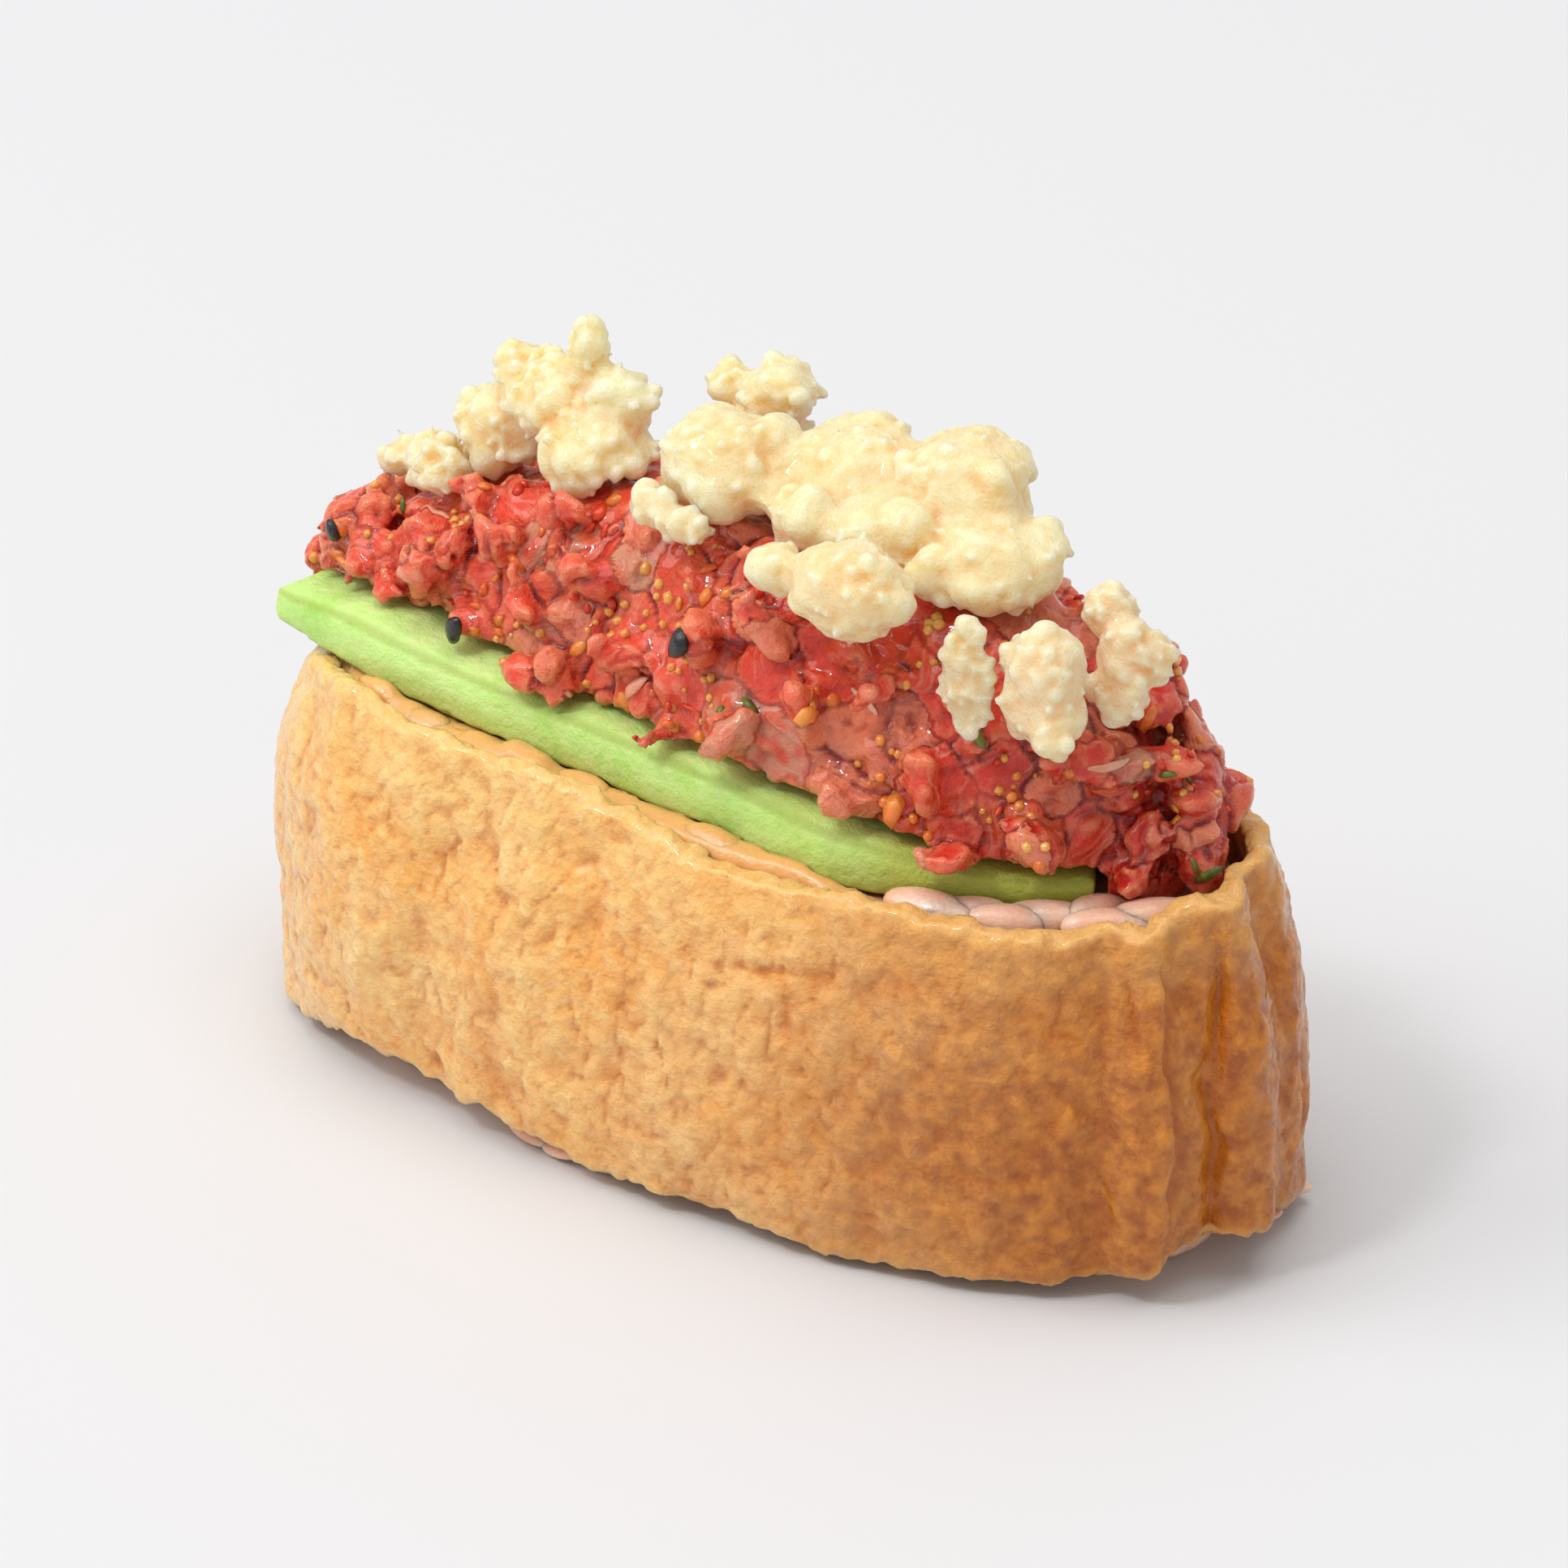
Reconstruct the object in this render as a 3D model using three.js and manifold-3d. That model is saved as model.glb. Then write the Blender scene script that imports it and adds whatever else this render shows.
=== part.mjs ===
// An open-topped inari: a band of fried tofu round a block of sushi rice, topped with an avocado slice,
// a mound of chopped tuna and puffs of tempura crunch. Millimetres, +Z up, the band's long axis along X.
import * as THREE from "three";
import { ConvexGeometry } from "three/addons/geometries/ConvexGeometry.js";
import { ImprovedNoise } from "three/addons/math/ImprovedNoise.js";
import { mergeVertices } from "three/addons/utils/BufferGeometryUtils.js";
import Module from "manifold-3d";

const wasm = await Module();
wasm.setup();
const { clamp, lerp, smoothstep } = THREE.MathUtils;

// Driving dimensions
const BAND_LENGTH = 77;
const BAND_WIDTH = 35;
const BAND_WALL = 1.8;
const RIM_HEIGHT = 26.5;
const RIM_LEAN = 2.6; // how far the rim leans in from the foot
const BAND_FOOT = 1.2; // the band's lower edge hangs this far above the table
const PLAN_SQUARENESS = 2.35; // exponent of the outline: 2 is an ellipse, 4 nearly a box
const SKIN_BUMP = 0.45;
const GAP = 0.3; // clearance between touching pieces
const RICE_TOP = 23.9;
const RICE_CLEARANCE = 0.75; // the bare block stays this far inside the band
const GRAIN_LENGTH = 6.2;
const GRAIN_WIDTH = 2.9;
const RIM_GRAINS = 46;
const EDGE_GRAINS = 8;
const SLICE_THICK = 4.6;
const SLICE_DEPTH = 8.5;
const TUNA_LEFT = -38.4;
const TUNA_RIGHT = 31.2;
const TUNA_NEAR = -3.6; // the mound's near edge at its left end, which draws nearer as far as TUNA_NEAREST
const TUNA_NEAREST = -11;
const TUNA_FAR = 10.5;
const TUNA_TOP = 44.5;
const TUNA_FALL = 8.5; // how much lower its left end is
const TUNA_OVERHANG = 27.8; // height of its underside where its left end passes over the rim
const CHUNK_SIZE = 5;
const CHUNK_COUNT = 126;
const CHUNK_POINTS = 9;

const perlin = new ImprovedNoise();

// A repeatable draw of numbers from 0 to 1.
function seededDraw(seed) {
  let state = seed;
  return () => {
    state = (state * 16807) % 2147483647;
    return state / 2147483647;
  };
}

// A closed geometry as a solid for joining and cutting, and back.
function solidOf(geometry) {
  const bare = geometry.clone();
  bare.deleteAttribute("normal");
  bare.deleteAttribute("uv");
  const merged = mergeVertices(bare, 1e-4);
  return new wasm.Manifold(
    new wasm.Mesh({
      numProp: 3,
      vertProperties: merged.attributes.position.array,
      triVerts: new Uint32Array(merged.index.array),
    }),
  );
}

function geometryOf(solid) {
  const mesh = solid.getMesh();
  const geometry = new THREE.BufferGeometry();
  geometry.setAttribute("position", new THREE.BufferAttribute(new Float32Array(mesh.vertProperties), 3));
  geometry.setIndex(new THREE.BufferAttribute(new Uint32Array(mesh.triVerts), 1));
  geometry.computeVertexNormals();
  return geometry;
}

// A skin over a grid of points: rows round a ring of columns. Rows close on themselves, or end in caps.
function gridGeometry(columns, rows, pointAt, closedRows) {
  const positions = [];
  const index = [];
  const spans = closedRows ? rows : rows - 1;
  for (let j = 0; j < rows; j++) {
    for (let i = 0; i < columns; i++) positions.push(...pointAt(i / columns, j / spans).toArray());
  }
  for (let j = 0; j < spans; j++) {
    for (let i = 0; i < columns; i++) {
      const [row, nextRow] = [j * columns, ((j + 1) % rows) * columns];
      const next = (i + 1) % columns;
      index.push(row + i, row + next, nextRow + next, row + i, nextRow + next, nextRow + i);
    }
  }
  const cap = (row, turned) => {
    const centre = new THREE.Vector3();
    const corner = new THREE.Vector3();
    for (let i = 0; i < columns; i++) centre.add(corner.fromArray(positions, 3 * (row * columns + i)));
    positions.push(...centre.divideScalar(columns).toArray());
    const hub = positions.length / 3 - 1;
    for (let i = 0; i < columns; i++) {
      const [a, b] = [row * columns + i, row * columns + ((i + 1) % columns)];
      index.push(hub, ...(turned ? [b, a] : [a, b]));
    }
  };
  if (!closedRows) {
    cap(0, true);
    cap(rows - 1, false);
  }
  const geometry = new THREE.BufferGeometry();
  geometry.setAttribute("position", new THREE.Float32BufferAttribute(positions, 3));
  geometry.setIndex(index);
  return geometry;
}

// A cosine or sine with its shoulders squared off: a power under 1 gives rounder boxes.
const squared = (value, power) => Math.sign(value) * Math.abs(value) ** power;
const wave = (turn, count, start) => Math.sin(2 * Math.PI * (turn * count + start));
const bump = (distance, width) => Math.exp(-((distance / width) ** 2));

function turnsApart(a, b) {
  const d = (((a - b) % 1) + 1) % 1;
  return Math.min(d, 1 - d);
}

// The band's outline in plan, a superellipse sampled evenly along its length.
// turn runs from 0 to 1 counter-clockwise, from the right-hand end.
const OUTLINE_SAMPLES = 720;
const outlineCurve = new THREE.CatmullRomCurve3(
  Array.from({ length: OUTLINE_SAMPLES }, (_, k) => {
    const angle = (2 * Math.PI * k) / OUTLINE_SAMPLES;
    const x = (BAND_LENGTH / 2) * squared(Math.cos(angle), 2 / PLAN_SQUARENESS);
    const y = (BAND_WIDTH / 2) * squared(Math.sin(angle), 2 / PLAN_SQUARENESS);
    return new THREE.Vector3(x, y, 0);
  }),
  true,
);
outlineCurve.arcLengthDivisions = OUTLINE_SAMPLES;

function outline(turn) {
  const wrapped = ((turn % 1) + 1) % 1;
  const tangent = outlineCurve.getTangentAt(wrapped);
  const normal = new THREE.Vector3(tangent.y, -tangent.x, 0).normalize();
  return { point: outlineCurve.getPointAt(wrapped), normal };
}

// Vertical folds where the band bends round its right-hand end, and one dent in the near side:
// turn places them, lean slants them, depth cuts in and a negative depth stands out.
const FOLDS = [
  { turn: 0.925, lean: 0.004, depth: 1.1, width: 0.0065 },
  { turn: 0.945, lean: -0.006, depth: -0.9, width: 0.009 },
  { turn: 0.962, lean: 0.002, depth: 1.3, width: 0.007 },
  { turn: 0.985, lean: -0.003, depth: -1.0, width: 0.01 },
  { turn: 0.008, lean: 0.006, depth: 1.0, width: 0.008 },
  { turn: 0.655, lean: 0.012, depth: 0.9, width: 0.016 },
];

function foldRelief(turn, height) {
  let relief = 0;
  for (const fold of FOLDS) {
    const middle = fold.turn + fold.lean * (height - 0.5);
    relief -= fold.depth * bump(turnsApart(turn, middle), fold.width);
  }
  return relief;
}

// Broad swells and hollows of the wall: out is how far each stands out, at its turn and height.
const SWELLS = [
  { turn: 0.5, width: 0.09, height: 0.72, spread: 0.22, out: 1.3 },
  { turn: 0.71, width: 0.06, height: 1, spread: 0.6, out: -1.3 },
  { turn: 0.87, width: 0.045, height: 1, spread: 0.5, out: 1.3 },
  { turn: 0.62, width: 0.04, height: 0.3, spread: 0.4, out: 0.6 },
  { turn: 0.3, width: 0.07, height: 0.6, spread: 0.4, out: 0.8 },
  { turn: 0.15, width: 0.05, height: 0.9, spread: 0.5, out: -0.8 },
  { turn: 0.99, width: 0.05, height: 0.7, spread: 0.5, out: -0.7 },
];

function swellRelief(turn, height) {
  let relief = 0;
  for (const swell of SWELLS) {
    const along = bump(turnsApart(turn, swell.turn), swell.width);
    relief += swell.out * along * bump(height - swell.height, swell.spread);
  }
  return relief;
}

// Heights of the band's two edges: the rim dips under the avocado, and the foot is raised in two places.
const RIM_DIP = { turn: 0.525, width: 0.05, depth: 1.9 };
const FOOT_RISES = [
  { turn: 0.63, width: 0.05, rise: 1.5 },
  { turn: 0.975, width: 0.04, rise: 2.2 },
];

function rimAt(turn) {
  const dip = RIM_DIP.depth * bump(turnsApart(turn, RIM_DIP.turn), RIM_DIP.width);
  return RIM_HEIGHT - dip + 0.9 * wave(turn, 2, 0.1) + 0.35 * wave(turn, 7, 0.3);
}

function footAt(turn) {
  let foot = BAND_FOOT + 0.4 * wave(turn, 3, 0.2) + 0.25 * wave(turn, 11, 0.6);
  for (const place of FOOT_RISES) foot += place.rise * bump(turnsApart(turn, place.turn), place.width);
  return foot;
}

// A point of the wall: turn goes round it, height runs from foot (0) to rim (1), inset goes inwards.
function bandPoint(turn, height, inset) {
  const { point, normal } = outline(turn);
  const lean = 0.9 * Math.sin(Math.PI * height) - RIM_LEAN * height ** 2;
  const folds = foldRelief(turn, height) * (1 - (0.5 * inset) / BAND_WALL);
  const uneven = SKIN_BUMP * perlin.noise(point.x * 0.16 + 7, point.y * 0.16 + 3, height * 3.1);
  point.addScaledVector(normal, lean + swellRelief(turn, height) + folds + uneven - inset);
  return point.setZ(lerp(footAt(turn), rimAt(turn), height));
}

// grow swells it on every side, for keeping other pieces clear of it.
function tofuBand(grow = 0) {
  const columns = 96;
  const outerRows = 8;
  const innerRows = 4;
  const rows = outerRows + innerRows;
  const pointAt = (turn, section) => {
    const row = Math.round(section * rows);
    const outer = row < outerRows;
    const height = outer ? row / (outerRows - 1) : 1 - (row - outerRows) / (innerRows - 1);
    const point = bandPoint(turn, height, outer ? -grow : BAND_WALL + grow);
    return point.setZ(point.z + grow * (2 * height - 1));
  };
  return gridGeometry(columns, rows, pointAt, true);
}

// The rice block fills the band and shows a little below it. lift swells it, for keeping the tuna clear.
function riceBlock(lift = 0) {
  const pointAt = (turn, level) => {
    const z = RICE_TOP * level;
    const height = clamp((z - BAND_FOOT) / (RIM_HEIGHT - BAND_FOOT), 0, 1);
    return bandPoint(turn, height, BAND_WALL + RICE_CLEARANCE - lift).setZ(z + lift * level);
  };
  return gridGeometry(56, 4, pointAt, false);
}

// The avocado slice lies along the near side. Its front lower edge follows these points,
// and its right end tapers under the tuna.
const SLICE_FRONT = new THREE.CatmullRomCurve3([
  new THREE.Vector3(-38.6, -4.9, 26.6),
  new THREE.Vector3(-27, -7.9, 25.8),
  new THREE.Vector3(-11, -9.6, 25.2),
  new THREE.Vector3(2, -10.8, 24.8),
  new THREE.Vector3(11.5, -11.7, 24.3),
  new THREE.Vector3(19, -9.4, 24.2),
  new THREE.Vector3(27, -4.5, 24.2),
]);
const TAPER_START = 0.7; // the slice thins from here to its right end, and a little at its left end
const HEAD_END = 0.14;

// grow swells it on every side; reach carries its front face forwards and drop its underside down,
// for cutting away what would lie in front of it or under it.
function avocadoSlice(grow = 0, reach = 0, drop = 0) {
  const pointAt = (around, along) => {
    const tangent = SLICE_FRONT.getTangentAt(along);
    const inwards = new THREE.Vector3(-tangent.y, tangent.x, 0).normalize();
    const taper = 0.65 + 0.35 * smoothstep(along, 0, HEAD_END) - 0.5 * smoothstep(along, TAPER_START, 1);
    const depth = SLICE_DEPTH * taper + 2 * grow + reach;
    const tall = SLICE_THICK * taper + 2 * grow + drop;
    const across = 0.5 + 0.5 * squared(Math.cos(2 * Math.PI * around), 0.45);
    const up = 0.5 + 0.5 * squared(Math.sin(2 * Math.PI * around), 0.45);
    return SLICE_FRONT.getPointAt(along)
      .addScaledVector(inwards, depth * across - grow - reach)
      .addScaledVector(tangent, (2 * along - 1) * grow)
      .add(new THREE.Vector3(0, 0, tall * up - grow - drop));
  };
  return gridGeometry(12, 20, pointAt, false);
}

// The mound of tuna: along runs from its left end to its right, around goes round its section.
function moundPoint(along, around, grow = 0) {
  const blunt = Math.max(0, 1 - Math.abs(2 * along - 1) ** 4);
  const x = lerp(TUNA_LEFT - grow, TUNA_RIGHT + grow, along);
  const base = lerp(TUNA_OVERHANG, RICE_TOP + GAP, smoothstep(x, -37, -31));
  const near = Math.max(TUNA_NEAR - 0.17 * (x - TUNA_LEFT), TUNA_NEAREST + 2 * smoothstep(x, 18, 28));
  const half = ((TUNA_FAR - near) / 2) * blunt ** 0.5 + grow;
  const fall = TUNA_FALL * (1 - smoothstep(along, -0.1, 0.5)) + 1.5 * smoothstep(along, 0.75, 1);
  const tall = (TUNA_TOP - fall - base) * blunt ** 0.4;
  const y = (near + TUNA_FAR) / 2 + half * squared(Math.cos(2 * Math.PI * around), 0.75);
  const s = Math.sin(2 * Math.PI * around);
  const z = s > 0 ? base + (tall + grow) * s ** 0.85 : base + grow * s;
  return new THREE.Vector3(x, y, z);
}

function moundNormal(along, around) {
  const step = 0.004;
  const [before, after] = [Math.max(along - step, 0.001), Math.min(along + step, 0.999)];
  const lengthwise = moundPoint(after, around).sub(moundPoint(before, around));
  const roundwise = moundPoint(along, around + step).sub(moundPoint(along, around - step));
  return lengthwise.cross(roundwise).normalize();
}

function tunaMound(grow) {
  const pointAt = (around, along) => moundPoint(lerp(0.004, 0.996, along), around, grow);
  return gridGeometry(14, 13, pointAt, false);
}

// One chopped piece of tuna: the hull of a few points round an uneven, flattened ball.
function chunkGeometry(draw, size) {
  const points = [];
  for (let k = 0; k < CHUNK_POINTS; k++) {
    const z = 1 - (2 * k + 1) / CHUNK_POINTS;
    const turn = k * Math.PI * (3 - Math.sqrt(5)) + draw();
    const ring = Math.sqrt(1 - z * z);
    const point = new THREE.Vector3(ring * Math.cos(turn), ring * Math.sin(turn), z);
    points.push(point.multiplyScalar(0.85 + 0.3 * draw()));
  }
  const half = new THREE.Vector3(1 + 0.5 * draw(), 0.75 + 0.35 * draw(), 0.6 + 0.3 * draw());
  half.multiplyScalar(size / 2);
  return new ConvexGeometry(points.map((point) => point.multiply(half)));
}

// A few-sided ball stretched to its half sizes, turned and put in place, for grains and seeds.
function smallBall(half, turn, place) {
  const ball = new THREE.SphereGeometry(1, 6, 4);
  ball.scale(...half);
  ball.applyMatrix4(new THREE.Matrix4().makeRotationFromEuler(turn));
  return solidOf(ball.translate(...place));
}

const crosses = (a, b) => a.intersect(b).volume() > 0;
const largest = (solid) => solid.decompose().reduce((a, b) => (a.volume() > b.volume() ? a : b));

// The puffs of crunch, each a few swollen lobes: middle x, y, z, then half sizes along x, y and z.
const CRUNCH = {
  crunch_main: [
    [-3, -1.5, 46.8, 5, 4.6, 4],
    [4.7, 2, 48.2, 4.3, 4.5, 2.6],
    [12.8, 2.5, 48.7, 4.8, 4.6, 3],
    [8.6, -1, 44.6, 5.9, 5, 4.3],
    [5, -4, 46, 3.1, 3, 2.5],
    [16.7, -1.1, 44.6, 5, 4.2, 3.6],
    [19.1, 0.5, 46, 2.5, 2.6, 1.8],
  ],
  crunch_tall: [
    [-15.1, 0.5, 43.5, 4.6, 4, 3.4],
    [-19.4, 2.5, 45.8, 3.9, 3.6, 3.2],
    [-23, 3.2, 46.4, 2.1, 2.2, 2.3],
    [-16.8, 2.2, 49.5, 1.5, 1.6, 2.7],
    [-14.1, 2, 47.2, 2.4, 2.4, 2.3],
    [-24.2, 2.5, 42.3, 3.7, 3, 3.2],
  ],
  crunch_low: [
    [11.7, -9.7, 45.2, 4.4, 3.4, 3.6],
    [6, -9.2, 45, 1.8, 1.8, 2.1],
  ],
  crunch_back: [
    [-8.8, 7, 48, 1.5, 1.8, 1.6],
    [-4.6, 7, 48.4, 2.8, 3, 2.2],
    [-5.5, 6.5, 44.5, 3, 3.2, 3.4],
  ],
  crunch_left: [
    [-30.2, 3, 38.2, 2.4, 2.2, 2.1],
    [-33, 3.2, 37.8, 1.7, 1.5, 1.5],
    [-27.4, 0.8, 39.2, 2.4, 2.4, 2.2],
  ],
  crunch_pale: [
    [-5.8, -5.6, 44.8, 2.5, 1.8, 1.6],
    [-3.2, -6.7, 44.6, 2.3, 1.5, 1.3],
  ],
  crunch_flake: [
    [20, -9.1, 41.3, 2.3, 1.1, 4.5],
  ],
  crunch_puff: [
    [24.9, -7.7, 41.4, 3.4, 2.8, 4.5],
    [26.7, -9.7, 38.8, 1.7, 1.6, 1.5],
  ],
  crunch_clear: [
    [25.9, -1.4, 44.2, 1.9, 1.8, 1.9],
    [27.6, -2.2, 41.9, 2, 1.9, 3],
    [29.3, -1.4, 41.9, 1.6, 1.5, 1.9],
    [27.6, -3.2, 39.4, 2.5, 1.5, 1.7],
  ],
};
const BIG_LOBE = 5.5; // lobes wider than this get finer faces

function crunchLobe([x, y, z, ...half], grow) {
  const lobe = new THREE.IcosahedronGeometry(1, Math.max(...half) > BIG_LOBE ? 2 : 1);
  const points = lobe.attributes.position;
  const p = new THREE.Vector3();
  const spread = new THREE.Vector3();
  for (let k = 0; k < points.count; k++) {
    p.fromBufferAttribute(points, k);
    const uneven = 1 + 0.22 * perlin.noise(p.x * 1.7 + x, p.y * 1.7 + y, p.z * 1.7 + z);
    spread.set(...half).multiplyScalar(uneven).addScalar(grow);
    p.multiply(spread);
    points.setXYZ(k, p.x + x, p.y + y, p.z + z);
  }
  return solidOf(lobe);
}

const crunchPuff = (lobes, grow) => wasm.Manifold.union(lobes.map((lobe) => crunchLobe(lobe, grow)));

// Each puff sits on the bare mound and keeps clear of the puffs before it.
function crunchPuffs(seat) {
  const puffs = [];
  let taken = seat;
  for (const [name, lobes] of Object.entries(CRUNCH)) {
    puffs.push([name, largest(crunchPuff(lobes, 0).subtract(taken))]);
    taken = taken.add(crunchPuff(lobes, GAP));
  }
  return puffs;
}

// Black sesame seeds on the tuna.
const SESAME_HALF = [1.5, 0.7, 1];
const SESAME = [
  [-36.1, -1.9, 33.4],
  [-21.5, -7.2, 31.7],
  [-1.4, -9.9, 37.9],
];

// The chopped tuna: a mound with its pieces fused on, each shrunk or left out where a topping is.
function tuna(toppings) {
  const draw = seededDraw(20117);
  const pieces = [solidOf(tunaMound(0))];
  for (let k = 0; k < CHUNK_COUNT; k++) {
    const even = (k + 0.5) / CHUNK_COUNT;
    const along = lerp(even, 0.5 - 0.5 * Math.cos(Math.PI * even), 0.6);
    const around = 0.5 * ((k * 0.618034) % 1);
    const size = CHUNK_SIZE * (0.75 + 0.5 * draw());
    const turn = new THREE.Euler(0.5 * (draw() - 0.5), 0.5 * (draw() - 0.5), 2 * Math.PI * draw());
    const sink = size * (0.12 + 0.1 * draw());
    const normal = moundNormal(along, around);
    const facing = new THREE.Quaternion().setFromUnitVectors(new THREE.Vector3(0, 0, 1), normal);
    const place = moundPoint(along, around).addScaledVector(normal, -sink);
    const shape = chunkGeometry(draw, size);
    for (const shrink of [1, 0.7]) {
      const chunk = shape.clone().scale(shrink, shrink, shrink);
      chunk.applyMatrix4(new THREE.Matrix4().makeRotationFromEuler(turn)).applyQuaternion(facing);
      const solid = solidOf(chunk.translate(...place.toArray()));
      if (crosses(solid, toppings)) continue;
      pieces.push(solid);
      break;
    }
  }
  for (const place of SESAME) {
    pieces.push(smallBall(SESAME_HALF, new THREE.Euler(draw(), draw(), 2 * draw()), place));
  }
  return wasm.Manifold.union(pieces);
}

// Grains of rice lie in a ring inside the rim, and some show under the band's raised edge.
// Each is moved inwards and down, or left out, where it would cross another piece.
function placedGrains(keepOff) {
  const draw = seededDraw(4409);
  const grains = [];
  const addGrain = (turn, inset, z, height, length, drop) => {
    const heading = 2 * Math.PI * (turn + 0.25 + 0.25 * (draw() - 0.5));
    const spin = new THREE.Euler(0.5 * (draw() - 0.5), 0.35 * (draw() - 0.5), heading);
    const half = [length / 2, GRAIN_WIDTH / 2, GRAIN_WIDTH / 2];
    for (let tries = 0; tries < 6; tries++) {
      const place = bandPoint(turn, height, inset + 0.3 * tries).setZ(z - drop * tries);
      if (crosses(smallBall(half, spin, place.toArray()), keepOff)) continue;
      grains.push({ half, spin, place });
      return;
    }
  };
  for (let k = 0; k < RIM_GRAINS; k++) {
    addGrain(k / RIM_GRAINS, BAND_WALL + 1.9, RICE_TOP + 0.4 * draw(), 0.9, GRAIN_LENGTH, 0.3);
  }
  for (let k = 0; k < EDGE_GRAINS; k++) {
    addGrain(0.6 + (0.07 * k) / EDGE_GRAINS, 1.2, 0.55 * GRAIN_WIDTH, 0, 0.8 * GRAIN_LENGTH, 0);
    addGrain(0.95 + (0.05 * k) / EDGE_GRAINS, 2.7, 0.55 * GRAIN_WIDTH, 0, 0.7 * GRAIN_LENGTH, 0);
  }
  return grains;
}

function grainSolids(grains, grow) {
  return wasm.Manifold.union(
    grains.map(({ half, spin, place }) => {
      const swollen = half.map((size) => size + grow);
      return smallBall(swollen, spin, place.toArray());
    }),
  );
}

function namedMesh(name, geometry, color, roughness) {
  const mesh = new THREE.Mesh(geometry, new THREE.MeshStandardMaterial({ color, roughness, metalness: 0 }));
  mesh.name = name;
  return mesh;
}

const bandSpace = solidOf(tofuBand(GAP));
const sliceSpace = solidOf(avocadoSlice(GAP));
const sliceSweep = solidOf(avocadoSlice(GAP, 8, 6));
const moundSpace = solidOf(tunaMound(GAP));
const puffSpace = wasm.Manifold.union(Object.values(CRUNCH).map((lobes) => crunchPuff(lobes, GAP)));
const grains = placedGrains(wasm.Manifold.union([bandSpace, sliceSpace, moundSpace]));
const rice = largest(solidOf(riceBlock()).add(grainSolids(grains, 0)).subtract(bandSpace));
const tunaCutter = wasm.Manifold.union([sliceSpace, sliceSweep, bandSpace, solidOf(riceBlock(GAP))]);
const choppedTuna = largest(tuna(puffSpace.add(grainSolids(grains, GAP))).subtract(tunaCutter));

const part = new THREE.Group();
part.add(namedMesh("tofu_band", tofuBand(), 0xd9984e, 0.6));
part.add(namedMesh("rice", geometryOf(rice), 0xf2ece0, 0.5));
part.add(namedMesh("avocado_slice", avocadoSlice(), 0xb4dc6e, 0.5));
part.add(namedMesh("tuna", geometryOf(choppedTuna), 0xc94040, 0.3));
for (const [name, solid] of crunchPuffs(moundSpace)) {
  part.add(namedMesh(name, geometryOf(solid), 0xf3dda0, 0.6));
}

// The origin is the middle of the whole on the table.
const box = new THREE.Box3().setFromObject(part, true);
const middle = box.getCenter(new THREE.Vector3());
for (const mesh of part.children) mesh.geometry.translate(-middle.x, -middle.y, -box.min.z);

export default part;
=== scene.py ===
# %% [markdown]
# # An open-topped inari
#
# This is a single piece of inari sushi: a band of fried tofu with no top, filled with rice, and on
# the rice an avocado slice, a heap of chopped tuna and crisp puffs of fried batter. The sizes come
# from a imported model, which is loaded first. Every piece below starts from one of its solids, so
# that it lands in the right place, and is then given the skin of the real food.

# %% Load the frame
import bpy
import itertools
import math
import numpy as np
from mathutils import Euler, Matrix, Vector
from mathutils.bvhtree import BVHTree
from mathutils.kdtree import KDTree


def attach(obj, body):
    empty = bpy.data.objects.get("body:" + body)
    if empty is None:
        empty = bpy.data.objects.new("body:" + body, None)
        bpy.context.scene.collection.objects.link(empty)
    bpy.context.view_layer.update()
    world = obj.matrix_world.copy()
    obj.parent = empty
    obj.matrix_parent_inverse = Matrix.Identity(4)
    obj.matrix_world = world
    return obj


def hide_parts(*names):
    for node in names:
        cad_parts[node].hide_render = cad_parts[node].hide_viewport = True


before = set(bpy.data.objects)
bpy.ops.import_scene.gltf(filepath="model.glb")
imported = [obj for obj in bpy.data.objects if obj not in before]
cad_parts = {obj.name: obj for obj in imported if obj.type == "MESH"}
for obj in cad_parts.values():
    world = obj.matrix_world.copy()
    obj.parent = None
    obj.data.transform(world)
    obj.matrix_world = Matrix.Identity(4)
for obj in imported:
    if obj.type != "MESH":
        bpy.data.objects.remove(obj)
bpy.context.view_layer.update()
MM = 0.001
FULL_TURN = 6.28  # radians
# how wide the small faces of each skin are, in millimetres
TOFU_FACE, SLICE_FACE, PUFF_FACE, TUNA_FACE, RICE_FACE = 0.37, 0.3, 0.2, 0.29, 0.4
print("nodes:", sorted(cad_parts))

# %% [markdown]
# ## Working by hand, in code
#
# An operator acts on whatever is selected, so each step starts by selecting one object alone.
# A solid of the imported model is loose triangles, so a copy of it is merged before it is shaped.

# %% Selecting, copying and modifying
def placed(name, data):
    """A new object in the scene."""
    obj = bpy.data.objects.new(name, data)
    bpy.context.scene.collection.objects.link(obj)
    return obj


def take(obj):
    """Makes one object the only one selected, and the active one."""
    bpy.ops.object.select_all(action="DESELECT")
    obj.select_set(True)
    bpy.context.view_layer.objects.active = obj


def copy_of(node, name):
    """A merged copy of a solid, as an object of its own."""
    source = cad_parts[node]
    mesh = source.data.copy()
    mesh.transform(source.matrix_world)
    mesh.materials.clear()
    piece = placed(name, mesh)
    take(piece)
    bpy.ops.object.mode_set(mode="EDIT")
    bpy.ops.mesh.select_all(action="SELECT")
    bpy.ops.mesh.remove_doubles(threshold=0.002 * MM)
    bpy.ops.object.mode_set(mode="OBJECT")
    return piece


def modify(piece, kind, **settings):
    """Adds a modifier, sets it and applies it."""
    take(piece)
    bpy.ops.object.modifier_add(type=kind)
    modifier = piece.modifiers[-1]
    for key, value in settings.items():
        setattr(modifier, key, value)
    bpy.ops.object.modifier_apply(modifier=modifier.name)


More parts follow.
